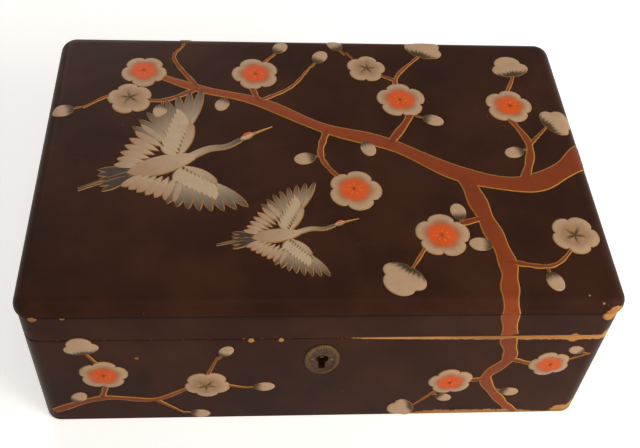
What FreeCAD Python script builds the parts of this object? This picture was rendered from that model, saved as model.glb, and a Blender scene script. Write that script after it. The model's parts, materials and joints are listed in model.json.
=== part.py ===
import FreeCAD, Part
import math
import os
import Sketcher

# A lacquered jewelry box: mitred base, lid frame with a shouldered top panel, two butt hinges,
# a half-mortise lock and a lined inside. +Z is up, the front faces -Y, the origin is the middle
# of the underside.

doc = FreeCAD.newDocument("jewelry_box")
sheet = doc.addObject("Spreadsheet::Sheet", "sizes")

# Driving dimensions, in millimetres and degrees.
SIZES = {
    "body_width": 278,
    "body_depth": 188,
    "base_height": 73,
    "wall": 10,
    "corner_radius": 8,
    "foot_round": 1.5,
    "edge_round": 0.8,
    "bottom_thickness": 6,
    "bottom_rabbet": 4,
    "seam_gap": 0.4,
    "rim_height": 18.6,
    "panel_thickness": 8,
    "panel_overhang": 1,
    "shoulder_radius": 7,
    "lip_round": 0.8,
    "field_thickness": 3,
    "field_gap": 0.2,
    "hinge_length": 30,
    "hinge_spacing": 160,
    "barrel_radius": 2.2,
    "barrel_clearance": 0.3,
    "pin_radius": 1,
    "pin_clearance": 0.05,
    "knuckle_gap": 0.2,
    "leaf_thickness": 1.2,
    "leaf_margin": 0.8,
    "stop_angle": 100,
    "screw_radius": 0.9,
    "screw_head_radius": 1.6,
    "screw_length": 7,
    "screw_slot": 0.45,
    "screw_clearance": 0.05,
    "hinge_screw_spacing": 18,
    "let_in_gap": 0.1,
    "escutcheon_width": 17,
    "escutcheon_height": 25,
    "escutcheon_rise": 1,
    "escutcheon_rim": 2.2,
    "escutcheon_plate": 0.5,
    "escutcheon_fall": 17.5,
    "escutcheon_pin_radius": 0.6,
    "escutcheon_pin_spacing": 9.4,
    "escutcheon_pin_length": 3,
    "keyhole_fall": 16.8,
    "keyhole_radius": 3.2,
    "keyhole_slot": 3.4,
    "keyhole_drop": 8.6,
    "lock_width": 50,
    "lock_drop": 34,
    "lock_plate_thickness": 1.2,
    "selvedge_thickness": 1.2,
    "case_inset": 5,
    "case_height": 28.8,
    "case_depth": 5.8,
    "case_wall": 0.8,
    "case_gap": 0.3,
    "lock_screw_rise": 22,
    "key_pin_radius": 1,
    "key_pin_length": 8,
    "staple_width": 4,
    "staple_thickness": 2,
    "staple_drop": 8,
    "staple_bar": 1,
    "staple_gap": 0.5,
    "bolt_travel": 5,
    "bolt_tip_gap": 1,
    "bolt_gap": 0.3,
    "bolt_height": 5,
    "bolt_end_gap": 1.1,
    "tail_room": 11.2,
    "finger_height": 3,
    "finger_gap": 0.2,
    "arm_width": 2.5,
    "talon_width": 5,
    "talon_depth": 2,
    "ledge_width": 7,
    "spring_thickness": 0.5,
    "spring_width": 3,
    "spring_drop": 3,
    "spring_reach": 10,
    "link_width": 42,
    "link_depth": 5.6,
    "link_thickness": 1.2,
    "link_screw_spacing": 32,
    "lining_thickness": 1.5,
    "lining_drop": 3,
    "lining_gap": 0.2,
    "soft_gap": 0.3,
    "floor_pad_thickness": 3,
    "lid_pad_thickness": 4,
    "lid_pad_margin": 2,
    "divider_thickness": 4,
    "divider_height": 36,
    "divider_spacing": 86,
    "dado_depth": 1.5,
    "ring_section": 54,
}
for row, (alias, size) in enumerate(SIZES.items(), start=1):
    sheet.set(f"A{row}", alias)
    sheet.set(f"B{row}", str(size))
    sheet.setAlias(f"B{row}", alias)
doc.recompute()

RING_ROLLS = 4
KNUCKLES = 5

# Lengths that follow from the sheet, as expressions.
INNER_WIDTH = "(sizes.body_width - 2 * sizes.wall)"
INNER_DEPTH = "(sizes.body_depth - 2 * sizes.wall)"
LID_LEVEL = "(sizes.base_height + sizes.seam_gap)"
PANEL_LEVEL = f"({LID_LEVEL} + sizes.rim_height)"
# The hinge pin runs over the outer ends of the back mitres, so the side boards never pass it.
PIN_INSET = "(sizes.corner_radius * (1 - cos(45)))"
PIN_Y = f"(sizes.body_depth / 2 - {PIN_INSET})"
PIN_LEVEL = "(sizes.base_height + sizes.seam_gap / 2)"
BARREL_ROOM = "(sizes.barrel_radius + sizes.barrel_clearance)"
LEAF_WIDTH = f"(sizes.wall - {PIN_INSET} - sizes.leaf_margin)"
LEAF_SCREW_Y = f"(({BARREL_ROOM} + {LEAF_WIDTH}) / 2)"
KNUCKLE_PITCH = f"(sizes.hinge_length / {KNUCKLES})"
LOCK_FACE_Y = f"(-{INNER_DEPTH} / 2)"
ESCUTCHEON_LEVEL = "(sizes.base_height - sizes.escutcheon_fall)"
KEY_LEVEL = "(sizes.base_height - sizes.keyhole_fall)"
CASE_WIDTH = "(sizes.lock_width - 2 * sizes.case_inset)"
CASE_HALF = f"({CASE_WIDTH} / 2 - sizes.case_wall)"
CASE_ROOM = "(sizes.case_depth - sizes.case_wall)"
CASE_BACK = "(sizes.lock_plate_thickness + sizes.case_depth)"
LOCK_MIDDLE = f"(sizes.lock_plate_thickness + {CASE_ROOM} / 2)"
STAPLE_FOOT = "(sizes.staple_drop - sizes.seam_gap)"
BOLT_TOP = f"(-{STAPLE_FOOT} - 3 * sizes.bolt_gap)"
BOLT_FOOT = f"({BOLT_TOP} - sizes.bolt_height)"
EYE_WIDTH = "(sizes.staple_width - 2 * sizes.staple_bar)"
EYE_HEIGHT = "(sizes.finger_height + 2 * sizes.staple_gap)"
FINGER_FOOT = f"(-{STAPLE_FOOT} + sizes.staple_bar + sizes.staple_gap)"
FINGER_LENGTH = "(sizes.arm_width + sizes.bolt_travel - sizes.bolt_tip_gap + sizes.bolt_gap * 2)"
FINGER_STEP = f"(sizes.staple_thickness / 2 + sizes.bolt_tip_gap + {FINGER_LENGTH})"
STAPLE_X = f"({CASE_HALF} - sizes.bolt_end_gap - {FINGER_STEP})"
LINED_WIDTH = f"({INNER_WIDTH} - 2 * sizes.lining_thickness)"
LINED_DEPTH = f"({INNER_DEPTH} - 2 * sizes.lining_thickness)"
FLOOR_LEVEL = "(sizes.bottom_thickness + sizes.soft_gap + sizes.floor_pad_thickness + sizes.soft_gap)"
DIVIDER_FRONT = f"(-{LINED_DEPTH} / 2 + sizes.ring_section)"
ROLL_PITCH = f"(sizes.ring_section / {RING_ROLLS})"
ROLL_RADIUS = f"({ROLL_PITCH} / 2 - sizes.soft_gap / 2)"

# Each side's board: outside length, middle of the outer face, turn about Z.
SIDES = {
    "front": ("sizes.body_width", "0", "-sizes.body_depth / 2", 0),
    "back": ("sizes.body_width", "0", "sizes.body_depth / 2", 180),
    "left": ("sizes.body_depth", "-sizes.body_width / 2", "0", -90),
    "right": ("sizes.body_depth", "sizes.body_width / 2", "0", 90),
}

pieces = {}


def number(expression):
    """Value of an expression on the sheet."""
    return float(sheet.evalExpression(expression))


def place(thing, x="0", y="0", z="0", axis=(0, 0, 1), turn=0):
    """Turn a piece about an axis and move it to a point given by expressions."""
    rotation = FreeCAD.Rotation(FreeCAD.Vector(*axis), turn)
    thing.Placement = FreeCAD.Placement(FreeCAD.Vector(), rotation)
    for name, expression in zip("xyz", (x, y, z)):
        thing.setExpression(f"Placement.Base.{name}", expression)
    return thing


def new_body(label):
    """Empty body."""
    return doc.addObject("PartDesign::Body", label)


def keep(label, thing):
    """List a finished piece under its own name."""
    thing.Label = label
    pieces[label] = thing
    return thing


def sketch_on(body, role, along="0", across="0", out="0"):
    """Empty sketch on one of the body's origin planes, moved in the sketch's own directions."""
    plane = next(feature for feature in body.Origin.OriginFeatures if feature.Role == role)
    sketch = body.newObject("Sketcher::SketchObject", f"{body.Name}_sketch")
    sketch.AttachmentSupport = [(plane, "")]
    sketch.MapMode = "FlatFace"
    for name, expression in zip("xyz", (along, across, out)):
        sketch.setExpression(f"AttachmentOffset.Base.{name}", expression)
    return sketch


def dimension(sketch, name, kind, where, expression):
    """Named dimension of a sketch, bound to an expression."""
    index = sketch.addConstraint(Sketcher.Constraint(kind, *where, number(expression)))
    sketch.renameConstraint(index, name)
    sketch.setExpression(f"Constraints.{name}", expression)


def polygon(sketch, points):
    """Closed outline through points given as pairs of expressions."""
    corners = [FreeCAD.Vector(number(x), number(y), 0) for x, y in points]
    count = len(points)
    for index in range(count):
        sketch.addGeometry(Part.LineSegment(corners[index], corners[(index + 1) % count]), False)
    for index in range(count):
        sketch.addConstraint(Sketcher.Constraint("Coincident", index, 2, (index + 1) % count, 1))
    for index, (x, y) in enumerate(points):
        dimension(sketch, f"x_{index}", "DistanceX", (-1, 1, index, 1), x)
        dimension(sketch, f"y_{index}", "DistanceY", (-1, 1, index, 1), y)
    return sketch


def rectangle(sketch, width, depth):
    """Rectangle about the sketch's origin."""
    right, back = f"({width}) / 2", f"({depth}) / 2"
    left, front = f"-({width}) / 2", f"-({depth}) / 2"
    return polygon(sketch, [(left, front), (right, front), (right, back), (left, back)])


def circle(sketch, radius):
    """Circle about the sketch's origin."""
    sketch.addGeometry(Part.Circle(FreeCAD.Vector(), FreeCAD.Vector(0, 0, 1), number(radius)), False)
    sketch.addConstraint(Sketcher.Constraint("Coincident", 0, 3, -1, 1))
    dimension(sketch, "radius", "Radius", (0,), radius)
    return sketch


def arc(centre, radius, start, end):
    """Arc of a circle between two angles in degrees."""
    round_line = Part.Circle(FreeCAD.Vector(*centre, 0), FreeCAD.Vector(0, 0, 1), radius)
    return Part.ArcOfCircle(round_line, math.radians(start), math.radians(end))


def line(start, end):
    """Straight line between two points of a sketch."""
    return Part.LineSegment(FreeCAD.Vector(*start, 0), FreeCAD.Vector(*end, 0))


def rounded_rectangle(sketch, width, depth, radius):
    """Rectangle about the sketch's origin with round corners."""
    right, back, bend = number(width) / 2, number(depth) / 2, number(radius)
    across, along = right - bend, back - bend
    sketch.addGeometry([
        line((-across, -back), (across, -back)),
        arc((across, -along), bend, 270, 360),
        line((right, -along), (right, along)),
        arc((across, along), bend, 0, 90),
        line((across, back), (-across, back)),
        arc((-across, along), bend, 90, 180),
        line((-right, along), (-right, -along)),
        arc((-across, -along), bend, 180, 270),
    ], False)
    for index in range(8):
        sketch.addConstraint(Sketcher.Constraint("Tangent", index, 2, (index + 1) % 8, 1))
    for index in (0, 4):
        sketch.addConstraint(Sketcher.Constraint("Horizontal", index))
        sketch.addConstraint(Sketcher.Constraint("Vertical", index + 2))
    for index in (3, 5, 7):
        sketch.addConstraint(Sketcher.Constraint("Equal", 1, index))
    sketch.addConstraint(Sketcher.Constraint("Symmetric", 1, 3, 5, 3, -1, 1))
    dimension(sketch, "radius", "Radius", (1,), radius)
    dimension(sketch, "width", "DistanceX", (5, 3, 3, 3), f"{width} - 2 * {radius}")
    dimension(sketch, "depth", "DistanceY", (1, 3, 3, 3), f"{depth} - 2 * {radius}")
    return sketch


def ellipse(sketch, width, height):
    """Upright ellipse about the sketch's origin."""
    tip = FreeCAD.Vector(0, number(height) / 2, 0)
    side = FreeCAD.Vector(number(width) / 2, 0, 0)
    sketch.addGeometry(Part.Ellipse(tip, side, FreeCAD.Vector()), False)
    sketch.exposeInternalGeometry(0)
    sketch.addConstraint(Sketcher.Constraint("Coincident", 0, 3, -1, 1))
    sketch.addConstraint(Sketcher.Constraint("Vertical", 1))
    dimension(sketch, "height", "Distance", (1,), height)
    dimension(sketch, "width", "Distance", (2,), width)
    return sketch


def keyhole(sketch, gap):
    """Keyhole: a round head about the sketch's origin with a round-ended slot below it."""
    head = f"(sizes.keyhole_radius + {gap})"
    slot = f"(sizes.keyhole_slot / 2 + {gap})"
    drop = "(sizes.keyhole_drop - sizes.keyhole_slot / 2)"
    radius, half, low = number(head), number(slot), number(drop)
    neck = math.degrees(math.asin(half / radius))
    shoulder = -math.sqrt(radius ** 2 - half ** 2)
    sketch.addGeometry([
        arc((0, 0), radius, neck - 90, 270 - neck),
        line((-half, shoulder), (-half, -low)),
        arc((0, -low), half, 180, 360),
        line((half, -low), (half, shoulder)),
    ], False)
    sketch.addConstraint(Sketcher.Constraint("Coincident", 0, 3, -1, 1))
    sketch.addConstraint(Sketcher.Constraint("Coincident", 0, 2, 1, 1))
    sketch.addConstraint(Sketcher.Constraint("Tangent", 1, 2, 2, 1))
    sketch.addConstraint(Sketcher.Constraint("Tangent", 2, 2, 3, 1))
    sketch.addConstraint(Sketcher.Constraint("Coincident", 3, 2, 0, 1))
    sketch.addConstraint(Sketcher.Constraint("Vertical", 1))
    sketch.addConstraint(Sketcher.Constraint("PointOnObject", 2, 3, -2))
    dimension(sketch, "head", "Radius", (0,), head)
    dimension(sketch, "slot", "Radius", (2,), slot)
    dimension(sketch, "drop", "DistanceY", (2, 3, -1, 1), drop)
    return sketch


def pad(body, sketch, length, backwards=False, both_ways=False):
    """Solid raised from a sketch."""
    feature = body.newObject("PartDesign::Pad", f"{body.Name}_pad")
    feature.Profile = sketch
    feature.setExpression("Length", length)
    feature.Reversed = backwards
    if both_ways:
        feature.SideType = "Symmetric"
    return feature


def pocket(body, sketch, length, backwards=False, both_ways=False):
    """Cut made from a sketch, against the sketch's normal unless turned round."""
    feature = body.newObject("PartDesign::Pocket", f"{body.Name}_pocket")
    feature.Profile = sketch
    feature.setExpression("Length", length)
    feature.Reversed = backwards
    if both_ways:
        feature.SideType = "Symmetric"
    return feature


def add_box(body, x, y, foot, width, depth, height):
    """Block added to a body, its foot rectangle about (x, y)."""
    pad(body, rectangle(sketch_on(body, "XY_Plane", x, y, foot), width, depth), height)


def cut_box(body, x, y, top, width, depth, drop):
    """Block cut from a body downwards, its top rectangle about (x, y)."""
    pocket(body, rectangle(sketch_on(body, "XY_Plane", x, y, top), width, depth), drop)


def ease_edges(body, size, chosen, kind="Fillet", measure="Radius"):
    """Fillet, or chamfer, on the edges of a body that a test picks out."""
    doc.recompute()
    base = body.Tip
    names = [f"Edge{index}" for index, edge in enumerate(base.Shape.Edges, start=1) if chosen(edge)]
    feature = body.newObject(f"PartDesign::{kind}", f"{body.Name}_{kind}")
    feature.Base = (base, names)
    feature.setExpression(measure, size)


def block(label, x, y, foot, width, depth, height):
    """Plain rectangular piece, its foot rectangle about (x, y)."""
    box = doc.addObject("Part::Box", label)
    for side, expression in zip(("Length", "Width", "Height"), (width, depth, height)):
        box.setExpression(side, expression)
    return place(box, f"{x} - ({width}) / 2", f"{y} - ({depth}) / 2", foot)


def copies(label, master, places):
    """Group of separate copies of one piece, each at its own point and turn."""
    links = []
    for spot in places:
        link = doc.addObject("App::Link", f"{label}_copy")
        link.LinkedObject = master
        links.append(place(link, *spot))
    group = doc.addObject("Part::Compound", label)
    group.Links = links
    return group


def cut_away(label, base, tool):
    """Piece with another shape taken out of it."""
    cut = doc.addObject("Part::Cut", f"{label}_cut")
    cut.Base = base
    cut.Tool = tool
    return keep(label, cut)


def mitred_board(name, length, height):
    """Board with its outer face on y = 0 and mitres that halve the rounds of the outer corners."""
    body = new_body(name)
    sketch = sketch_on(body, "XY_Plane")
    thick, bend = number("sizes.wall"), number("sizes.corner_radius")
    half = number(length) / 2
    middle = half - bend
    across = middle + bend * math.cos(math.radians(45))
    rise = bend - bend * math.cos(math.radians(45))
    sketch.addGeometry([
        line((thick - half, thick), (-across, rise)),
        arc((-middle, bend), bend, 225, 270),
        line((-middle, 0), (middle, 0)),
        arc((middle, bend), bend, 270, 315),
        line((across, rise), (half - thick, thick)),
        line((half - thick, thick), (thick - half, thick)),
    ], False)
    for first, second, kind in ((0, 1, "Coincident"), (1, 2, "Tangent"), (2, 3, "Tangent"),
                                (3, 4, "Coincident"), (4, 5, "Coincident"), (5, 0, "Coincident")):
        sketch.addConstraint(Sketcher.Constraint(kind, first, 2, second, 1))
    sketch.addConstraint(Sketcher.Constraint("PointOnObject", 2, 1, -1))
    sketch.addConstraint(Sketcher.Constraint("Symmetric", 2, 1, 2, 2, -2))
    sketch.addConstraint(Sketcher.Constraint("Symmetric", 5, 1, 5, 2, -2))
    sketch.addConstraint(Sketcher.Constraint("Equal", 1, 3))
    sketch.addConstraint(Sketcher.Constraint("PointOnObject", 1, 3, 0))
    sketch.addConstraint(Sketcher.Constraint("PointOnObject", 3, 3, 4))
    sketch.addConstraint(Sketcher.Constraint("Perpendicular", 0, 4))
    dimension(sketch, "radius", "Radius", (1,), "sizes.corner_radius")
    dimension(sketch, "face", "DistanceX", (2, 1, 2, 2), f"{length} - 2 * sizes.corner_radius")
    dimension(sketch, "wall", "DistanceY", (-1, 1, 5, 1), "sizes.wall")
    pad(body, sketch, height)
    return body


def outer_edge(level):
    """Test for a board's outer edges at one height."""
    reach = number("sizes.wall") / 5
    return lambda edge: abs(edge.CenterOfMass.z - level) < 0.01 and edge.CenterOfMass.y < reach


def hinge_seat(board, top, upwards):
    """Back board's bevel along the pin, with a recess and a barrel notch for each hinge."""
    length = "sizes.body_width"
    fall = f"({PIN_INSET} + sizes.barrel_radius) * tan(sizes.stop_angle / 2)"
    outside = f"-({PIN_INSET} + sizes.barrel_radius)"
    drop = fall if upwards else f"-({fall})"
    bevel = sketch_on(board, "YZ_Plane", PIN_INSET, top)
    polygon(bevel, [("0", "0"), (outside, "0"), (outside, drop)])
    pocket(board, bevel, length, both_ways=True)
    pin = f"{top} - sizes.seam_gap / 2" if upwards else f"{top} + sizes.seam_gap / 2"
    recess_top = f"{top} + sizes.leaf_thickness" if upwards else top
    for side in ("-", ""):
        x = f"{side}sizes.hinge_spacing / 2"
        room = "sizes.hinge_length + 2 * sizes.let_in_gap"
        reach = f"{PIN_INSET} + {LEAF_WIDTH} + sizes.let_in_gap"
        cut_box(board, x, f"({reach}) / 2", recess_top, room, reach, "sizes.leaf_thickness")
        barrel = sketch_on(board, "YZ_Plane", PIN_INSET, pin, x)
        pocket(board, circle(barrel, BARREL_ROOM), room, both_ways=True)


def screw(name, gap):
    """Countersunk screw pointing down, its head's face at the origin, grown by a gap all round."""
    body = new_body(name)
    head = f"(sizes.screw_head_radius + {gap})"
    shank = f"(sizes.screw_radius + {gap})"
    neck = "-(sizes.screw_head_radius - sizes.screw_radius)"
    foot = f"-(sizes.screw_length + {gap})"
    sketch = sketch_on(body, "XZ_Plane")
    polygon(sketch, [("0", "0"), (head, "0"), (shank, neck), (shank, f"{foot} + {shank}"), ("0", foot)])
    turned = body.newObject("PartDesign::Revolution", f"{name}_turned")
    turned.Profile = sketch
    turned.ReferenceAxis = (sketch, ["V_Axis"])
    turned.Angle = 360
    return body


# Base boards and lid rails, mitred at the corners.
boards = {}
rails = {}
for side, (length, x, y, turn) in SIDES.items():
    board = boards[side] = mitred_board(f"base_{side}", length, "sizes.base_height")
    cut_box(board, "0", "sizes.wall - sizes.bottom_rabbet / 2", "sizes.bottom_thickness",
            length, "sizes.bottom_rabbet", "sizes.bottom_thickness")
    ease_edges(board, "sizes.foot_round", outer_edge(0))
    rail = rails[side] = mitred_board(f"rim_{side}", length, "sizes.rim_height")
    if side == "back":
        hinge_seat(board, "sizes.base_height", upwards=False)
        hinge_seat(rail, "0", upwards=True)
    else:
        ease_edges(board, "sizes.edge_round", outer_edge(number("sizes.base_height")))
        ease_edges(rail, "sizes.edge_round", outer_edge(0))
    place(board, x, y, "0", turn=turn)
    place(rail, x, y, LID_LEVEL, turn=turn)
for side in ("left", "right"):
    keep(f"base_{side}_board", boards[side])
    keep(f"lid_{side}_rail", rails[side])

# Bottom board, let into the rabbet of the four base boards.
keep("bottom_board", block(
    "bottom_board", "0", "0", "0", f"{INNER_WIDTH} + 2 * sizes.bottom_rabbet",
    f"{INNER_DEPTH} + 2 * sizes.bottom_rabbet", "sizes.bottom_thickness"))

# Top panel: a round shoulder above, a small lip below, and a field that drops into the lid frame.
panel = keep("lid_top_panel", new_body("lid_top_panel"))
panel_outline = rounded_rectangle(
    sketch_on(panel, "XY_Plane"), "(sizes.body_width + 2 * sizes.panel_overhang)",
    "(sizes.body_depth + 2 * sizes.panel_overhang)", "(sizes.corner_radius + sizes.panel_overhang)")
pad(panel, panel_outline, "sizes.panel_thickness")
panel_top = number("sizes.panel_thickness")
ease_edges(panel, "sizes.shoulder_radius", lambda edge: edge.CenterOfMass.z > panel_top - 0.01)
ease_edges(panel, "sizes.lip_round", lambda edge: edge.CenterOfMass.z < 0.01)
field = rectangle(sketch_on(panel, "XY_Plane"), f"{INNER_WIDTH} - 2 * sizes.field_gap",
                  f"{INNER_DEPTH} - 2 * sizes.field_gap")
pad(panel, field, "sizes.field_thickness", backwards=True)
place(panel, z=PANEL_LEVEL)

# Screws of one kind for the hinges, the lock and the link plate, and the holes they sit in.
screw_master = screw("wood_screw", "0")
cut_box(screw_master, "0", "0", "0", "2 * sizes.screw_head_radius", "sizes.screw_slot", "sizes.screw_slot")
hole_master = screw("screw_hole", "sizes.screw_clearance")
UP = ((1, 0, 0), 180)
DOWN = ((1, 0, 0), 0)
FORWARD = ((1, 0, 0), -90)
hinge_screw_spots = [
    (f"{hinge}sizes.hinge_spacing / 2 {step} sizes.hinge_screw_spacing / 2", f"{PIN_Y} - {LEAF_SCREW_Y}")
    for hinge in ("-", "") for step in ("-", "+")
]
lock_screw_spots = [
    (f"{side}(sizes.lock_width - sizes.case_inset) / 2", LOCK_FACE_Y,
     f"sizes.base_height - sizes.lock_drop / 2 {step} sizes.lock_screw_rise / 2")
    for side in ("-", "") for step in ("-", "+")
]
LINK_Y = f"{LOCK_FACE_Y} - {LOCK_MIDDLE}"
screw_places = {
    "hinge_base_screws": [(x, y, "sizes.base_height", *DOWN) for x, y in hinge_screw_spots],
    "hinge_lid_screws": [(x, y, LID_LEVEL, *UP) for x, y in hinge_screw_spots],
    "lock_screws": [(*spot, *FORWARD) for spot in lock_screw_spots],
    "link_screws": [(f"{side}sizes.link_screw_spacing / 2", LINK_Y, LID_LEVEL, *UP) for side in ("-", "")],
}
holes = {}
for name, spots in screw_places.items():
    keep(name, copies(name, screw_master, spots))
    holes[name] = copies(f"{name}_holes", hole_master, spots)

# Hinges: each leaf is a plate and a barrel, cut away where the other leaf has its knuckles.
for side, sign in (("left", "-"), ("right", "")):
    x = f"{sign}sizes.hinge_spacing / 2"
    for leaf, turn, taken in (("base", 0, (1, 3)), ("lid", 180, (0, 2, 4))):
        body = new_body(f"{side}_{leaf}_leaf")
        add_box(body, "0", f"-{LEAF_WIDTH} / 2", "-(sizes.seam_gap / 2 + sizes.leaf_thickness)",
                "sizes.hinge_length", LEAF_WIDTH, "sizes.leaf_thickness")
        barrel = circle(sketch_on(body, "YZ_Plane"), "sizes.barrel_radius")
        pad(body, barrel, "sizes.hinge_length", both_ways=True)
        bore = circle(sketch_on(body, "YZ_Plane"), "sizes.pin_radius + sizes.pin_clearance")
        pocket(body, bore, "2 * sizes.hinge_length", both_ways=True)
        for knuckle in taken:
            middle = f"({knuckle} - {KNUCKLES // 2}) * {KNUCKLE_PITCH}"
            cut_box(body, middle, "0", BARREL_ROOM, f"{KNUCKLE_PITCH} + sizes.knuckle_gap",
                    f"2 * {BARREL_ROOM}", f"2 * {BARREL_ROOM}")
        place(body, x, PIN_Y, PIN_LEVEL, (0, 1, 0), turn)
        cut_away(f"{side}_hinge_{leaf}_leaf", body, holes[f"hinge_{leaf}_screws"])
    pin = doc.addObject("Part::Cylinder", f"{side}_pin")
    pin.setExpression("Radius", "sizes.pin_radius")
    pin.setExpression("Height", "sizes.hinge_length")
    place(pin, f"{x} - sizes.hinge_length / 2", PIN_Y, PIN_LEVEL, (0, 1, 0), 90)
    keep(f"{side}_hinge_pin", pin)
cut_away("base_back_board", boards["back"], holes["hinge_base_screws"])
cut_away("lid_back_rail", rails["back"], holes["hinge_lid_screws"])

# Escutcheon: an oval plate with a raised rim round the keyhole, held by two pins.
oval = new_body("escutcheon_plate")
pad(oval, ellipse(sketch_on(oval, "XZ_Plane"), "sizes.escutcheon_width", "sizes.escutcheon_height"),
    "sizes.escutcheon_rise")
dish = ellipse(sketch_on(oval, "XZ_Plane", out="sizes.escutcheon_rise"),
               "sizes.escutcheon_width - 2 * sizes.escutcheon_rim",
               "sizes.escutcheon_height - 2 * sizes.escutcheon_rim")
pocket(oval, dish, "sizes.escutcheon_rise - sizes.escutcheon_plate")
KEY_RISE = "sizes.escutcheon_fall - sizes.keyhole_fall"
pocket(oval, keyhole(sketch_on(oval, "XZ_Plane", "0", KEY_RISE, "sizes.escutcheon_rise"), "0"),
       "sizes.escutcheon_rise")
place(oval, "0", "-sizes.body_depth / 2", ESCUTCHEON_LEVEL)
pin_kinds = {}
for kind, gap in (("pin", "0"), ("hole", "sizes.screw_clearance")):
    tack = doc.addObject("Part::Cylinder", f"escutcheon_{kind}")
    tack.setExpression("Radius", f"sizes.escutcheon_pin_radius + {gap}")
    tack.setExpression("Height", f"sizes.escutcheon_pin_length + {gap}")
    spots = [(f"{side}sizes.escutcheon_pin_spacing / 2",
              "-sizes.body_depth / 2 - sizes.escutcheon_plate", KEY_LEVEL, *FORWARD)
             for side in ("-", "")]
    pin_kinds[kind] = copies(f"escutcheon_{kind}s", tack, spots)
keep("escutcheon_pins", pin_kinds["pin"])
cut_away("escutcheon", oval, pin_kinds["hole"])

# Lock: back plate with a selvedge on top, let into the front board from inside.
plate = new_body("lock_back_plate")
add_box(plate, "0", "-sizes.lock_plate_thickness / 2", "-sizes.lock_drop",
        "sizes.lock_width", "sizes.lock_plate_thickness", "sizes.lock_drop")
add_box(plate, "0", f"-{CASE_BACK} / 2", "-sizes.selvedge_thickness",
        "sizes.lock_width", CASE_BACK, "sizes.selvedge_thickness")
for side in ("-", ""):
    cut_box(plate, f"{side}{STAPLE_X}", f"-{LOCK_MIDDLE}", "0",
            "sizes.staple_thickness + 2 * sizes.staple_gap", "sizes.staple_width + 2 * sizes.staple_gap",
            "sizes.selvedge_thickness")
place(plate, "0", LOCK_FACE_Y, "sizes.base_height")
cut_away("lock_plate", plate, holes["lock_screws"])

# Lock case: a tray open towards the plate, with the keyhole and a ledge under the bolt's tail.
case = keep("lock_case", new_body("lock_case"))
CASE_FOOT = "(-sizes.selvedge_thickness - sizes.case_height)"
add_box(case, "0", "-sizes.lock_plate_thickness - sizes.case_depth / 2", CASE_FOOT,
        CASE_WIDTH, "sizes.case_depth", "sizes.case_height")
cut_box(case, "0", f"-{LOCK_MIDDLE}", "-sizes.selvedge_thickness", f"2 * {CASE_HALF}", CASE_ROOM,
        "sizes.case_height - sizes.case_wall")
add_box(case, f"-{CASE_HALF} + sizes.ledge_width / 2", f"-{LOCK_MIDDLE}",
        f"{BOLT_FOOT} - sizes.bolt_gap - sizes.case_wall", "sizes.ledge_width", CASE_ROOM, "sizes.case_wall")
case_key = keyhole(sketch_on(case, "XZ_Plane", "0", "-sizes.keyhole_fall", CASE_BACK), "0")
pocket(case, case_key, "sizes.case_wall")
place(case, "0", LOCK_FACE_Y, "sizes.base_height")

# Bolt: a bar with two fingers that slide through the staples, and a talon for the key.
bolt = keep("lock_bolt", new_body("lock_bolt"))
BOLT_START = f"(-{STAPLE_X} - {FINGER_STEP})"
BOLT_LENGTH = f"({CASE_HALF} - sizes.tail_room - {BOLT_START})"
FINGER_DEPTH = f"({EYE_WIDTH} - 2 * sizes.finger_gap)"
add_box(bolt, f"{BOLT_START} + {BOLT_LENGTH} / 2", f"-{LOCK_MIDDLE}", BOLT_FOOT,
        BOLT_LENGTH, f"{CASE_ROOM} - 2 * sizes.bolt_gap", "sizes.bolt_height")
for staple in ("-", ""):
    start = f"({staple}{STAPLE_X} - {FINGER_STEP})"
    add_box(bolt, f"{start} + sizes.arm_width / 2", f"-{LOCK_MIDDLE}", BOLT_TOP, "sizes.arm_width",
            FINGER_DEPTH, f"{FINGER_FOOT} + sizes.finger_height - {BOLT_TOP}")
    add_box(bolt, f"{start} + {FINGER_LENGTH} / 2", f"-{LOCK_MIDDLE}", FINGER_FOOT, FINGER_LENGTH,
            FINGER_DEPTH, "sizes.finger_height")
cut_box(bolt, "0", f"-{LOCK_MIDDLE}", f"{BOLT_FOOT} + sizes.talon_depth", "sizes.talon_width",
        CASE_ROOM, "sizes.talon_depth")
place(bolt, "0", LOCK_FACE_Y, "sizes.base_height")

# Leaf spring: a strip bent off the case's right wall, its free end just under the bolt.
spring = keep("bolt_spring", new_body("bolt_spring"))
strip = sketch_on(spring, "XZ_Plane", f"{CASE_HALF} - sizes.bolt_gap", f"{BOLT_FOOT} - sizes.bolt_gap",
                  LOCK_MIDDLE)
SPRING_BEND = "(-2 * sizes.spring_drop)"
polygon(strip, [
    ("0", SPRING_BEND),
    ("0", "-sizes.spring_drop + sizes.spring_thickness"),
    ("-sizes.spring_reach", "0"),
    ("-sizes.spring_reach", "-sizes.spring_thickness"),
    ("-sizes.spring_thickness", "-sizes.spring_drop"),
    ("-sizes.spring_thickness", SPRING_BEND),
])
pad(spring, strip, "sizes.spring_width", both_ways=True)
place(spring, "0", LOCK_FACE_Y, "sizes.base_height")

# Key pin, standing on the back plate in the middle of the keyhole.
key_pin = doc.addObject("Part::Cylinder", "key_pin")
key_pin.setExpression("Radius", "sizes.key_pin_radius")
key_pin.setExpression("Height", "sizes.key_pin_length")
place(key_pin, "0", f"{LOCK_FACE_Y} - sizes.lock_plate_thickness", KEY_LEVEL, (1, 0, 0), 90)
keep("key_pin", key_pin)

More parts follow.
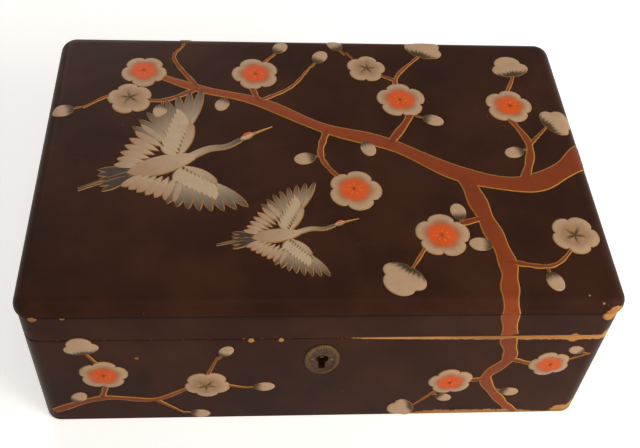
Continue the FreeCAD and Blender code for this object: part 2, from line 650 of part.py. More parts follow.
# Front board: recess for the plate and selvedge, mortise for the case, keyhole, holes for fasteners.
front = boards["front"]
cut_box(front, "0", "sizes.wall - sizes.lock_plate_thickness / 2", "sizes.base_height",
        "sizes.lock_width + 2 * sizes.let_in_gap", "sizes.lock_plate_thickness",
        "sizes.lock_drop + sizes.let_in_gap")
cut_box(front, "0", f"sizes.wall - ({CASE_BACK} + sizes.let_in_gap) / 2", "sizes.base_height",
        "sizes.lock_width + 2 * sizes.let_in_gap", f"{CASE_BACK} + sizes.let_in_gap",
        "sizes.selvedge_thickness")
cut_box(front, "0", f"sizes.wall - ({CASE_BACK} + sizes.case_gap) / 2", "sizes.base_height",
        f"{CASE_WIDTH} + 2 * sizes.case_gap", f"{CASE_BACK} + sizes.case_gap",
        "sizes.selvedge_thickness + sizes.case_height + sizes.case_gap")
front_key = keyhole(sketch_on(front, "XZ_Plane", "0", KEY_LEVEL), "sizes.let_in_gap")
pocket(front, front_key, f"sizes.wall - {CASE_BACK}")
drilled = cut_away("front_board_for_lock", front, holes["lock_screws"])
del pieces["front_board_for_lock"]
cut_away("base_front_board", drilled, pin_kinds["hole"])

# Link plate in the lid's front rail, with two staples that drop into the lock.
link = new_body("link_body")
add_box(link, "0", "0", "0", "sizes.link_width", "sizes.link_depth", "sizes.link_thickness")
for side in ("-", ""):
    x = f"{side}{STAPLE_X}"
    add_box(link, x, "0", "-sizes.staple_drop", "sizes.staple_thickness", "sizes.staple_width",
            "sizes.staple_drop")
    cut_box(link, x, "0", f"-sizes.staple_drop + sizes.staple_bar + {EYE_HEIGHT}",
            "2 * sizes.staple_thickness", EYE_WIDTH, EYE_HEIGHT)
place(link, "0", LINK_Y, LID_LEVEL)
cut_away("link_plate", link, holes["link_screws"])
cut_box(rails["front"], "0", f"sizes.wall - {LOCK_MIDDLE}", "sizes.link_thickness",
        "sizes.link_width + 2 * sizes.let_in_gap", "sizes.link_depth + 2 * sizes.let_in_gap",
        "sizes.link_thickness")
cut_away("lid_front_rail", rails["front"], holes["link_screws"])

# Linings of the four walls; the front one is notched round the lock plate.
LINING_HEIGHT = "sizes.base_height - sizes.bottom_thickness - sizes.lining_drop"
LONG_LINING = f"{INNER_WIDTH} - 2 * sizes.lining_gap"
SHORT_LINING = f"{LINED_DEPTH} - 2 * sizes.lining_gap"
lining_x = f"({INNER_WIDTH} - sizes.lining_thickness) / 2"
lining_y = f"({INNER_DEPTH} - sizes.lining_thickness) / 2"
front_sheet = block("front_lining_sheet", "0", f"-{lining_y}", "sizes.bottom_thickness", LONG_LINING,
                    "sizes.lining_thickness", LINING_HEIGHT)
lock_window = block("lock_window", "0", f"-{lining_y}",
                    "sizes.base_height - sizes.lock_drop - sizes.soft_gap",
                    "sizes.lock_width + 2 * sizes.soft_gap", "2 * sizes.lining_thickness", "sizes.lock_drop")
cut_away("front_lining", front_sheet, lock_window)
keep("back_lining", block("back_lining", "0", lining_y, "sizes.bottom_thickness", LONG_LINING,
                          "sizes.lining_thickness", LINING_HEIGHT))
for side, sign in (("left", "-"), ("right", "")):
    name = f"{side}_lining"
    keep(name, block(name, f"{sign}{lining_x}", "0", "sizes.bottom_thickness", "sizes.lining_thickness",
                     SHORT_LINING, LINING_HEIGHT))

# Padded floor and padded lid.
keep("floor_pad", block("floor_pad", "0", "0", "sizes.bottom_thickness + sizes.soft_gap",
                        f"{LINED_WIDTH} - 2 * sizes.soft_gap", f"{LINED_DEPTH} - 2 * sizes.soft_gap",
                        "sizes.floor_pad_thickness"))
keep("lid_pad", block("lid_pad", "0", "0",
                      f"{PANEL_LEVEL} - sizes.field_thickness - sizes.soft_gap - sizes.lid_pad_thickness",
                      f"{INNER_WIDTH} - 2 * sizes.lid_pad_margin",
                      f"{INNER_DEPTH} - 2 * sizes.lid_pad_margin", "sizes.lid_pad_thickness"))

# Dividers: a long one behind the ring rolls, with dados for two short ones.
long_divider = keep("long_divider", new_body("long_divider"))
add_box(long_divider, "0", "sizes.divider_thickness / 2", "0", f"{LINED_WIDTH} - 2 * sizes.soft_gap",
        "sizes.divider_thickness", "sizes.divider_height")
for side in ("-", ""):
    cut_box(long_divider, f"{side}sizes.divider_spacing / 2",
            "sizes.divider_thickness - sizes.dado_depth / 2", "sizes.divider_height",
            "sizes.divider_thickness + 2 * sizes.let_in_gap", "sizes.dado_depth", "sizes.divider_height")
place(long_divider, "0", DIVIDER_FRONT, FLOOR_LEVEL)
SHORT_START = f"({DIVIDER_FRONT} + sizes.divider_thickness - sizes.dado_depth)"
SHORT_LENGTH = f"({LINED_DEPTH} / 2 - sizes.soft_gap - {SHORT_START})"
for side, sign in (("left", "-"), ("right", "")):
    name = f"{side}_divider"
    keep(name, block(name, f"{sign}sizes.divider_spacing / 2", f"{SHORT_START} + {SHORT_LENGTH} / 2",
                     FLOOR_LEVEL, "sizes.divider_thickness", SHORT_LENGTH, "sizes.divider_height"))

# Ring rolls side by side in front of the long divider.
for index in range(RING_ROLLS):
    roll = keep(f"ring_roll_{index + 1}", new_body(f"ring_roll_{index + 1}"))
    pad(roll, circle(sketch_on(roll, "YZ_Plane"), ROLL_RADIUS),
        f"{LINED_WIDTH} - 4 * sizes.soft_gap", both_ways=True)
    ease_edges(roll, f"{ROLL_RADIUS} / 3", lambda edge: edge.Closed, "Chamfer", "Size")
    place(roll, "0", f"-{LINED_DEPTH} / 2 + ({index} + 0.5) * {ROLL_PITCH}", f"{FLOOR_LEVEL} + {ROLL_RADIUS}")

doc.recompute()
for thing in doc.Objects:
    if {"Invalid", "Error"} & set(thing.State):
        raise ValueError(f"{thing.Name} did not build: {thing.State}")
os.makedirs("parts", exist_ok=True)
for label, thing in pieces.items():
    if thing.Shape.isNull() or not thing.Shape.isValid():
        raise ValueError(f"{label} has no valid shape")
    thing.Shape.exportStep(f"parts/{label}.step")
print(len(pieces), "pieces written")
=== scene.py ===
# %% [markdown]
# This lesson dresses the solids of a lacquered jewelry box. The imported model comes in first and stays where
# it is: every later piece is laid on it in the same frame, in metres, and rides one of its bodies. Pieces
# could be modelled by hand, but as arrays of points each shape is a formula that can be read and changed.

# %% Load the box
import bpy
import bmesh
import json
import math
import numpy as np
from mathutils import Matrix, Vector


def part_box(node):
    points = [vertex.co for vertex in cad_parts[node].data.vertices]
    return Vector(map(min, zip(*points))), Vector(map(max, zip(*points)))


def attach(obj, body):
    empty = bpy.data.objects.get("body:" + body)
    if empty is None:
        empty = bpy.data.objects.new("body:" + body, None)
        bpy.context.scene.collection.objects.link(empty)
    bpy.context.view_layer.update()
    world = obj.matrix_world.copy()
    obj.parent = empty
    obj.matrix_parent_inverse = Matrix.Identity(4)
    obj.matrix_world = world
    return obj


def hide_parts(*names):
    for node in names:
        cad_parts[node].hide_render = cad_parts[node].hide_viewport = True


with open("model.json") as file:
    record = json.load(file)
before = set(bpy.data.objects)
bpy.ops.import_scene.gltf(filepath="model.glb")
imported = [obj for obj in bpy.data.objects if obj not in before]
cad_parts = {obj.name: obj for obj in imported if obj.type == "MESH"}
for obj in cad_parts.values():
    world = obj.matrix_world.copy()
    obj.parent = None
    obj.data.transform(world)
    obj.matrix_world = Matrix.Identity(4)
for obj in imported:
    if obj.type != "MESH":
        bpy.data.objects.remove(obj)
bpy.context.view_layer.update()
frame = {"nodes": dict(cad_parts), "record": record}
MM = 0.001


def stand(name, data):
    """Object that shows some data, in the scene at the origin."""
    thing = bpy.data.objects.new(name, data)
    bpy.context.scene.collection.objects.link(thing)
    return thing


def posed(right, up, back, place):
    """Matrix whose columns are three axes and a place."""
    columns = np.eye(4)
    columns[:3] = np.column_stack([right, up, back, place])
    return Matrix(columns.tolist())


# %% [markdown]
# The camera stands as it did for the photograph. It could be turned by eye until the edges match. Here it
# was worked out from the straight edges of the box, so its place, turn, tilt, roll and focal length are
# measured values.

# %% Camera
PICTURE_WIDTH = 640
SENSOR_WIDTH = 36
FOCAL_PIXELS = 942.81
CAMERA_PLACE = np.array([-36.63, -339.21, 441.83]) * MM
YAW, PITCH, ROLL = np.radians([6.909, 49.21, 5.211])

level_forward = np.array([math.sin(YAW), math.cos(YAW), 0])
level_right = np.array([math.cos(YAW), -math.sin(YAW), 0])
upright = np.array([0, 0, 1])
forward = level_forward * math.cos(PITCH) - upright * math.sin(PITCH)
tilted_up = upright * math.cos(PITCH) + level_forward * math.sin(PITCH)
right = level_right * math.cos(ROLL) + tilted_up * math.sin(ROLL)
up = tilted_up * math.cos(ROLL) - level_right * math.sin(ROLL)

camera_data = bpy.data.cameras.new("photo_camera")
camera_data.sensor_width = SENSOR_WIDTH
camera_data.lens = FOCAL_PIXELS * SENSOR_WIDTH / PICTURE_WIDTH
camera_data.clip_start = 10 * MM
camera = stand("photo_camera", camera_data)
camera.matrix_world = posed(right, up, -forward, CAMERA_PLACE)
bpy.context.scene.camera = camera
print("lens", round(camera_data.lens, 2), "mm")

# %% [markdown]
# A finish is a small tree of shader nodes. It could be drawn in the node editor, but these helpers keep it
# to a few lines: one adds a node with its values, and others name the steps that a painter would use.

# %% Helpers for finishes
def colour(red, green, blue):
    """Linear colour of a picture value given as three numbers from 0 to 255."""
    share = np.array([red, green, blue]) / 255
    linear = np.where(share <= 0.04045, share / 12.92, ((share + 0.055) / 1.055) ** 2.4)
    return (*linear.tolist(), 1.0)


class Nodes:
    """A tree of shader nodes, of a material or of the world."""

    def __init__(self, tree):
        self.tree = tree

    def add(self, kind, inputs=None, **settings):
        """Node of a kind; inputs are values or sockets, by name or number."""
        node = self.tree.nodes.new(kind)
        for key, value in settings.items():
            setattr(node, key, value)
        for key, value in (inputs or {}).items():
            self.put(value, node.inputs[key])
        return node

    def put(self, value, socket):
        """Link a socket or set a plain value."""
        if isinstance(value, bpy.types.NodeSocket):
            self.tree.links.new(value, socket)
        else:
            socket.default_value = value

    def math(self, operation, first, second=0.0, third=0.0):
        """One step of arithmetic on up to three values."""
        return self.add("ShaderNodeMath", {0: first, 1: second, 2: third}, operation=operation).outputs[0]

    def fade(self, value, low, high, start=0.0, end=1.0):
        """Smooth step from start to end as a value goes from low to high."""
        inputs = {"Value": value, "From Min": low, "From Max": high, "To Min": start, "To Max": end}
        return self.add("ShaderNodeMapRange", inputs, interpolation_type="SMOOTHSTEP").outputs["Result"]

    def blend(self, amount, first, second, way="MIX"):
        """Mix of two colours, or their product where the way is MULTIPLY."""
        inputs = {"Factor": amount, "A": first, "B": second}
        return self.add("ShaderNodeMix", inputs, data_type="RGBA", blend_type=way).outputs["Result"]


class Finish(Nodes):
    """A material with its tree, its shader and its Object coordinates."""

    def __init__(self, name):
        self.material = bpy.data.materials.new(name)
        self.material.use_nodes = True
        super().__init__(self.material.node_tree)
        self.shader = self.tree.nodes["Principled BSDF"]
        self.place = self.add("ShaderNodeTexCoord").outputs["Object"]

    def axes(self):
        """The three Object coordinates, each by itself."""
        return list(self.add("ShaderNodeSeparateXYZ", {0: self.place}).outputs)

    def stretched(self, scale):
        """Object coordinates stretched along the axes."""
        return self.add("ShaderNodeMapping", {"Vector": self.place, "Scale": scale}).outputs[0]

    def mottle(self, scale, detail, roughness=0.55, vector=None):
        """Cloudy variation from 0 to 1; scale counts the clouds in a metre."""
        inputs = {"Vector": vector or self.place, "Scale": scale, "Detail": detail, "Roughness": roughness}
        return self.add("ShaderNodeTexNoise", inputs).outputs["Fac"]

    def relief(self, height, distance, strength, under=None):
        """Bumps from a height, over another bump if one is given."""
        inputs = {"Height": height, "Distance": distance, "Strength": strength}
        if under is not None:
            inputs["Normal"] = under
        return self.add("ShaderNodeBump", inputs).outputs["Normal"]

    def set(self, **sockets):
        """Values or links for the shader's sockets; underscores stand for spaces."""
        for key, value in sockets.items():
            self.put(value, self.shader.inputs[key.replace("_", " ")])
        return self.material


print("finish helpers ready")

# %% [markdown]
# The box stands on a white table, under a broad window-like lamp at the right and other soft ones around. A
# curved backdrop could hide the horizon. Here the table and the world are white to the camera, mirrors and
# glass by Light Path, so the ground is white without more light on the lacquer and still takes the shadow.

# %% Table, lamps and world
TABLE_HALF, TABLE_TOP = 3.0, -0.1 * MM
WHITE_TO_CAMERA = 0.42
GLOW_STARTS, GLOW_FULL = 0.7, 1.7
SKY_LIGHT = 0.16
LAMP_AIM = np.array([0, 0, 0.05])
# Each lamp: name, place and size in metres, power in watts, tint.
LAMPS = [
    ("right_window", (0.85, -0.62, 0.6), 0.6, 11, (1.0, 0.91, 0.8)),
    ("left_fill", (-0.9, -1.1, 1.1), 0.8, 2, (1.0, 0.92, 0.84)),
    ("back_fill", (-0.5, 1.4, 0.75), 0.8, 9, (1.0, 0.94, 0.88)),
    ("front_fill", (0.0, -0.6, 1.6), 0.9, 5.5, (1.0, 0.93, 0.86)),
]


def mesh_of(name, points, faces):
    """Mesh from an array of points and an array of four-sided faces."""
    mesh = bpy.data.meshes.new(name)
    mesh.from_pydata(points.reshape(-1, 3).tolist(), [], faces.reshape(-1, 4).tolist())
    return mesh


def camera_or_mirror(nodes):
    """1 for rays from the camera, a mirror or a glass, 0 for light that bounces."""
    path = nodes.add("ShaderNodeLightPath").outputs
    seen = nodes.math("MAXIMUM", path["Is Camera Ray"], path["Is Glossy Ray"])
    return nodes.math("MAXIMUM", seen, path["Is Transmission Ray"])


def lay_table():
    """Square table top a hair under the box; its glow rises to white with the distance from it."""
    x, y = TABLE_HALF * np.array([(-1, 1, 1, -1), (-1, -1, 1, 1)])
    corners = np.stack([x, y, np.full(4, TABLE_TOP)], axis=-1)
    table = stand("table", mesh_of("table", corners, np.arange(4)))
    white = Finish("table_white")
    away = white.add("ShaderNodeVectorMath", {0: white.place}, operation="LENGTH").outputs["Value"]
    glow = white.fade(away, GLOW_STARTS, GLOW_FULL, WHITE_TO_CAMERA, 1.0)
    glow = white.math("MULTIPLY", camera_or_mirror(white), glow)
    white.set(Base_Color=(0.9, 0.9, 0.9, 1), Roughness=0.9, Specular_IOR_Level=0.0,
              Emission_Color=(1, 1, 1, 1), Emission_Strength=glow)
    table.data.materials.append(white.material)


def hang_lamp(name, place, size, power, tint):
    """Square soft lamp at a place, turned to the middle of the box."""
    data = bpy.data.lights.new(name, "AREA")
    data.size, data.energy, data.color = size, power, tint
    away = np.array(place) - LAMP_AIM
    away = away / np.linalg.norm(away)
    side = np.cross((0, 0, 1), away)
    side = side / np.linalg.norm(side)
    stand(name, data).matrix_world = posed(side, np.cross(away, side), away, place)


lay_table()
for lamp in LAMPS:
    hang_lamp(*lamp)

world = bpy.data.worlds.new("studio")
bpy.context.scene.world = world
world.use_nodes = True
sky = Nodes(world.node_tree)
background = world.node_tree.nodes["Background"].inputs
background["Color"].default_value = (1, 1, 1, 1)
sky.put(sky.fade(camera_or_mirror(sky), 0, 1, SKY_LIGHT, 1), background["Strength"])
bpy.context.scene.view_settings.view_transform = "Standard"
print("lamps:", [item.name for item in bpy.data.lights])

# %% [markdown]
# The lacquer is nearly black brown over pale wood. On the real box it has rubbed through along the seam, at
# the foot and at the corners. The wear could be painted on an image, but all boards share the box's own
# frame, so one material can say where: bands and spots in Object coordinates, their edges broken up by
# noise.

# %% Worn places
base_low, base_high = np.array(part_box("base_front_board"))
rim_low, rim_high = np.array(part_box("lid_front_rail"))
SEAM = float(base_high[2] + rim_low[2]) / 2
CREASE = float(rim_high[2])
FRONT = float(base_low[1])

# Least width of the bare band at the seam and at the foot, and how much wider it gets.
SEAM_BARE, SEAM_MORE = 0.7 * MM, 3.6 * MM
FOOT_BARE, FOOT_MORE = 0.9 * MM, 5.2 * MM
# Product of x and y, in square metres, over which the upright corners come to be rubbed.
CORNER_FROM, CORNER_TO = 0.01268, 0.01295
RAGGEDNESS = 1.7

# Rubbed spots: a point and a radius, in millimetres.
RUBBED_SPOTS = [
    ((131, -95, 2), 10), ((137, -90, 6), 9), ((134, -95, 91.5), 8.5), ((138, -92, 73), 7.5),
    ((120, -94, 72), 5), ((-138, -94, 0), 5), ((-131, -94, 91), 3.5), ((-118, -94, 91), 2),
    ((-112, -94, 48), 2.4), ((-107, -94, 47), 2), ((-88, -94, 58), 1.6), ((-34, -94, 72), 2.4),
    ((-20, -94, 72), 2), ((138, 94, 0), 9), ((-138, 94, 73), 7), ((138, 94, 91), 6), ((-139, 20, 73), 4),
]


def spot_share(finish, spot, radius, core, most):
    """Share that falls from most to 0 between the core and the radius of a spot, in millimetres."""
    inputs = {0: finish.place, 1: [value * MM for value in spot]}
    away = finish.add("ShaderNodeVectorMath", inputs, operation="DISTANCE").outputs["Value"]
    return finish.fade(away, core * radius * MM, radius * MM, most, 0)


def worn_share(finish):
    """How far the lacquer has gone, from 0 to 1: the largest of the worn places, with a ragged edge."""
    x, y, z = finish.axes()
    front = finish.fade(y, FRONT + 2 * MM, FRONT + 6 * MM, 1, 0)
    rightward = finish.fade(x, -18 * MM, 135 * MM)
    below_seam = finish.math("SUBTRACT", SEAM, z)
    reach = finish.math("MULTIPLY_ADD", rightward, SEAM_MORE, SEAM_BARE)
    on_base = finish.math("MULTIPLY", below_seam, finish.fade(below_seam, -0.1 * MM, 0.1 * MM, -3.5, 1))
    seam = finish.math("DIVIDE", on_base, reach)
    seam = finish.math("MULTIPLY", finish.fade(seam, 0.25, 1.25, 1, 0), front)
    seam = finish.math("MULTIPLY", seam, finish.fade(rightward, 0.02, 0.25, 0.45, 1))
    foot_run = finish.fade(x, 100 * MM, 122 * MM, 1, 0.35)
    foot_run = finish.math("MULTIPLY", finish.fade(x, 40 * MM, 62 * MM), foot_run)
    foot_reach = finish.math("MULTIPLY_ADD", foot_run, FOOT_MORE, FOOT_BARE)
    foot = finish.fade(finish.math("DIVIDE", z, foot_reach), 0.3, 1.3, 1, 0)
    corner = finish.math("MULTIPLY", finish.math("ABSOLUTE", x), finish.math("ABSOLUTE", y))
    corner = finish.fade(corner, CORNER_FROM, CORNER_TO, 0, 0.5)
    worn = finish.math("MAXIMUM", finish.math("MAXIMUM", seam, foot), corner)
    for spot, radius in RUBBED_SPOTS:
        worn = finish.math("MAXIMUM", worn, spot_share(finish, spot, radius, 0.35, 1))
    ragged = finish.math("SUBTRACT", finish.mottle(330, 8, 0.72), 0.5)
    ragged = finish.math("MULTIPLY", ragged, RAGGEDNESS)
    return finish.fade(finish.math("ADD", worn, ragged), 0.52, 0.68)


print("seam at", round(SEAM / MM, 1), "mm, rubbed spots:", len(RUBBED_SPOTS))

# %% [markdown]
# Elsewhere the lacquer is a clouded brown with dust specks, hair scratches and a few flecks of pale paint,
# and the crease under the lid's shoulder is darkened with painted shade. One plain colour would be quicker,
# but it would look like plastic, so the layers are blended one after another.

# %% Lacquer
# Painted shade along the crease under the lid's shoulder: full within the core, gone at the reach.
CREASE_SHADE_CORE, CREASE_SHADE_REACH = 0.2 * MM, 2.2 * MM
# Flecks of pale paint: a point and a radius, in millimetres.
PALE_FLECKS = [((121, -89.5, 99.4), 0.7), ((127.5, -92.5, 97.6), 0.9), ((129.5, -93, 97), 0.7),
               ((104, -91, 98.6), 0.5)]


def bare_wood(finish):
    """Pale wood with grain along X: stretched noise between two browns."""
    grain = finish.mottle(60, 6, 0.6, finish.stretched((0.12, 1, 1.6)))
    return finish.blend(finish.fade(grain, 0.35, 0.65), colour(128, 82, 42), colour(192, 138, 84))


def lacquer_brown(lacquer, crease_shade):
    """Clouded brown with specks, hair scratches and flecks laid over it, then painted shade in the crease."""
    cloud = lacquer.mottle(22, 5, 0.6)
    brown = lacquer.blend(lacquer.fade(cloud, 0.3, 0.72), colour(47, 27, 19), colour(64, 38, 27))
    specks = lacquer.add("ShaderNodeTexVoronoi", {"Vector": lacquer.place, "Scale": 160}, feature="F1")
    speck = lacquer.fade(specks.outputs["Distance"], 0.035, 0.07, 1, 0)
    chosen = lacquer.add("ShaderNodeSeparateColor", {0: specks.outputs["Color"]}).outputs[0]
    speck = lacquer.math("MULTIPLY", speck, lacquer.fade(chosen, 0.9, 0.93))
    brown = lacquer.blend(lacquer.math("MULTIPLY", speck, 0.6), brown, colour(120, 96, 82))
    hairs = lacquer.mottle(90, 3, 0.7, lacquer.stretched((0.25, 6, 1)))
    brown = lacquer.blend(lacquer.fade(hairs, 0.70, 0.74, 0, 0.35), brown, colour(82, 56, 44))
    for spot, radius in PALE_FLECKS:
        brown = lacquer.blend(spot_share(lacquer, spot, radius, 0.5, 0.8), brown, colour(196, 184, 170))
    # Painted shade: near-black brown laid over the crease under the lid's shoulder.
    return lacquer.blend(crease_shade, brown, colour(16, 10, 9))


def make_lacquer():
    """Dark lacquer with a faint gloss that smears, gets rough and sinks where it is worn."""
    lacquer = Finish("dark_lacquer")
    from_crease = lacquer.math("ABSOLUTE", lacquer.math("SUBTRACT", lacquer.axes()[2], CREASE))
    # Painted shade along the crease under the shoulder; the lacquer is also rougher there.
    crease_shade = lacquer.fade(from_crease, CREASE_SHADE_CORE, CREASE_SHADE_REACH, 0.85, 0)
    worn = worn_share(lacquer)
    shade = lacquer.blend(worn, lacquer_brown(lacquer, crease_shade), bare_wood(lacquer))
    gloss = lacquer.fade(lacquer.mottle(14, 4, 0.6), 0.25, 0.75, 0.26, 0.42)
    dulled = lacquer.math("MULTIPLY", lacquer.math("MAXIMUM", worn, crease_shade), 0.35)
    rough = lacquer.math("ADD", gloss, dulled)
    waves = lacquer.relief(lacquer.mottle(45, 3), 0.25 * MM, 0.5)
    pores = lacquer.relief(lacquer.mottle(900, 2), 0.05 * MM, 0.5, waves)
    sunk = lacquer.relief(lacquer.math("SUBTRACT", 1.0, worn), 0.25 * MM, 0.8, pores)
    return lacquer.set(Base_Color=shade, Roughness=rough, Normal=sunk, Specular_IOR_Level=0.03)


lacquer_finish = make_lacquer()
print("crease at", round(CREASE / MM, 1), "mm, nodes in the lacquer:", len(lacquer_finish.node_tree.nodes))

# %% [markdown]
# Brass turns brown in its hollows and stays yellow where it is touched. The lining is a short-pile velvet:
# its colour shifts with the lie of the pile and its sheen lights up at grazing angles. Hair particles could
# make the pile, but at this size a sheen over a fine nap is enough. The spring and the key pin are steel.

# %% Brass, steel and velvet
def make_brass():
    """Aged brass: two tones by noise, rougher where it is dull, with fine scratches."""
    brass = Finish("aged_brass")
    age = brass.mottle(180, 6, 0.65)
    tone = brass.blend(brass.fade(age, 0.35, 0.65), colour(112, 82, 40), colour(188, 150, 84))
    scratch = brass.mottle(500, 3, 0.6, brass.stretched((1, 1, 0.08)))
    return brass.set(Base_Color=tone, Metallic=1.0, Roughness=brass.fade(age, 0.3, 0.7, 0.5, 0.28),
                     Normal=brass.relief(scratch, 0.03 * MM, 0.5))


def make_velvet():
    """Velvet: pile that lies in soft patches, a fine nap and a strong sheen."""
    velvet = Finish("wine_velvet")
    deep, light = colour(84, 12, 20), colour(112, 22, 31)
    lie = velvet.mottle(38, 4, 0.55)
    tone = velvet.blend(velvet.fade(lie, 0.2, 0.8), deep, light)
    nap = velvet.mottle(2600, 2, 0.6)
    tone = velvet.blend(velvet.fade(nap, 0.45, 0.8, 0, 0.35), tone, light)
    dents = velvet.relief(lie, 0.4 * MM, 0.4)
    return velvet.set(Base_Color=tone, Roughness=0.9, Sheen_Weight=0.55, Sheen_Roughness=0.35,
                      Sheen_Tint=(0.9, 0.45, 0.45, 1), Normal=velvet.relief(nap, 0.12 * MM, 0.7, dents),
                      Specular_IOR_Level=0.15)


def make_steel():
    """Drawn steel with fine lines along X."""
    steel = Finish("drawn_steel")
    lines = steel.mottle(700, 3, 0.6, steel.stretched((0.1, 1, 1)))
    tone = steel.blend(lines, colour(40, 36, 33), colour(70, 65, 60))
    return steel.set(Base_Color=tone, Metallic=1.0, Roughness=0.55,
                     Normal=steel.relief(lines, 0.02 * MM, 0.5))


velvet_finish = make_velvet()
finish_of_slot = {"lacquer_wood": lacquer_finish, "brass": make_brass(), "spring_steel": make_steel(),
                  "velvet": velvet_finish}
for entry in frame["record"]["subparts"]:
    node = frame["nodes"][entry["node"]]
    node.data.materials.clear()
    node.data.materials.append(finish_of_slot[entry["material_slot"]])

# %% [markdown]
# The ornament is raised enamel: boughs, blossoms, buds and two flying cranes of a traditional kind. It
# could be a flat texture, but raised paint catches the light and stays in the exported mesh. It is drawn on
# a flat map, which on the lid runs over the top, round the shoulders, past the lip and down the front rim,
# like paper folded over the edges.

# %% Map from the flat drawing to the box
SHOULDER = 7.0 * MM
LIP = 1.0 * MM
panel_high = np.array(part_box("lid_top_panel"))[1]
TOP = float(panel_high[2])
HALF_DEPTH = float(panel_high[1])
TOP_END = HALF_DEPTH - SHOULDER
TOP_SIDE = float(panel_high[0]) - SHOULDER
ARC_LENGTH = SHOULDER * math.pi / 2


def on_lid(x, v, lift):
    """Point at drawing place (x, v).

    Past a flat edge the way runs round a quarter circle; at the front it goes on over the lip and down.
    """
    side_run, end_run = np.abs(x) - TOP_SIDE, np.abs(v) - TOP_END
    turn, bow = (np.clip(run / SHOULDER, 0, math.pi / 2) for run in (side_run, end_run))
    past = np.clip(end_run - ARC_LENGTH, 0, None)
    step_back = np.clip(past / LIP, 0, 1) * (HALF_DEPTH + FRONT)
    side = np.sign(x) * (TOP_SIDE + (SHOULDER + lift) * np.sin(turn))
    end = np.sign(v) * (TOP_END + (SHOULDER + lift) * np.sin(bow) - step_back)
    height = TOP - SHOULDER * (2 - np.cos(bow) - np.cos(turn)) - past + lift * np.cos(bow) * np.cos(turn)
    return np.stack([np.where(side_run < 0, x, side), np.where(end_run < 0, v, end), height], axis=-1)


def on_front(x, v, lift):
    """Point on the base's front face: x across, v up, lifted forwards."""
    return np.stack([x, FRONT - lift, v], axis=-1)


print("shoulder arc", round(ARC_LENGTH / MM, 1), "mm")

# %% [markdown]
# A stroke of enamel is a flattened tube: a ring of points carried along a line, wide as the brush and only
# a hair thick. A petal or a bud is a patch: rings that grow from its middle to an outline and close again
# underneath. Bevelled curves could make the strokes, but here each point has its own colour, so a thin gold
# line can run along both sides of a branch.

# %% Strokes and patches of enamel
GOLD_LINE = 0.55 * MM
UNDERSIDE = 0.15 * MM
# A stroke's ring: places across it, and how many line widths further in they lie. Nine cross the top.
CROSSING = np.array([1, 1, 1, 0.5, 0, -0.5, -1, -1, -1, -0.7, 0, 0.7])
INWARD = np.array([0, 1, 1.35, 0, 0, 0, 1.35, 1, 0, 0, 0, 0])
ON_TOP = np.arange(len(CROSSING)) < 9
SIDE_LINES = np.isin(np.arange(len(CROSSING)), [0, 1, 7, 8])
# A patch's rings as shares of its radius, out to the rim and back underneath.
PATCH_RINGS = np.array([0, 0.12, 0.24, 0.36, 0.47, 0.58, 0.69, 0.8, 0.88, 0.93, 0.96, 1.0, 0.9, 0.0])
RIM_RING = 11
PATCH_COLUMNS = 80


def towards(angles):
    """Arrows of length 1 at the angles: cosine across, sine up."""
    return np.stack([np.cos(angles), np.sin(angles)], axis=-1)


def enamel_strokes(ground, lines, half_widths, rise, inner, outer, edge):
    """Closed strokes as arrays of points and tints.

    lines is (strokes, steps, 2). The top of a ring is lifted by the root of 1 - across squared, the rest
    lies underneath. inner and outer are the tints at the start and end, edge that of the side lines.
    """
    along = np.gradient(lines, axis=1)
    along = along / np.maximum(np.linalg.norm(along, axis=-1, keepdims=True), 1e-12)
    side = np.stack([-along[..., 1], along[..., 0]], axis=-1)
    half = np.broadcast_to(half_widths, lines.shape[:2])[..., None]
    line_share = np.clip(GOLD_LINE / np.maximum(half, 1e-9), 0.07, 0.42)
    across = CROSSING - np.sign(CROSSING) * INWARD * line_share
    lift = np.where(ON_TOP, np.sqrt(np.clip(1 - across ** 2, 0, 1)) * rise, -UNDERSIDE)
    lift = np.where(np.abs(across) >= 1, 0, lift)
    spot = lines[:, :, None, :] + side[:, :, None, :] * (across * half)[..., None]
    points = ground(spot[..., 0], spot[..., 1], lift)
    share = np.linspace(0, 1, lines.shape[1])[:, None, None]
    tint = np.where(SIDE_LINES[:, None], edge, inner * (1 - share) + outer * share)
    return points, np.broadcast_to(tint, points.shape)


def enamel_patches(ground, centres, turns, outline, rise, paint):
    """Closed patches: ring share times the outline's radius at each angle, domed on top, flat underneath.

    outline gives radii (patches, columns) for the angles; paint gives tints for ring shares and angles.
    """
    angle = np.linspace(0, math.tau, PATCH_COLUMNS, endpoint=False)
    radius = outline(angle)[:, None, :, None] * PATCH_RINGS[:, None, None]
    spot = centres[:, None, None] + radius * towards(angle + turns[:, None])[:, None]
    dome = rise * np.sqrt(np.clip(1 - PATCH_RINGS ** 4, 0, 1))
    lift = np.where(np.arange(len(PATCH_RINGS)) <= RIM_RING, dome, -UNDERSIDE)
    points = ground(spot[..., 0], spot[..., 1], np.broadcast_to(lift[:, None], spot.shape[:3]))
    return points, np.broadcast_to(paint(PATCH_RINGS[:, None], angle), points.shape)


print("ring of", len(CROSSING), "points, patch of", len(PATCH_RINGS), "rings and", PATCH_COLUMNS, "columns")

# %% [markdown]
# The points become pieces: rings are joined by faces, doubles are merged at the tips and the faces are
# turned outwards. Each piece rides a body, so the ornament moves with the board that it is painted on. The
# paint could be a material for each colour, but one that reads the tint of every point is enough.

# %% Pieces of enamel
SEAM_REACH = 1e-7


def ring_faces(numbers):
    """Faces between each ring of point numbers and the next; the last axis runs round a ring."""
    turned = np.roll(numbers, -1, axis=-1)
    near_ring, far_ring = np.s_[..., :-1, :], np.s_[..., 1:, :]
    return np.stack([numbers[near_ring], turned[near_ring], turned[far_ring], numbers[far_ring]], axis=-1)


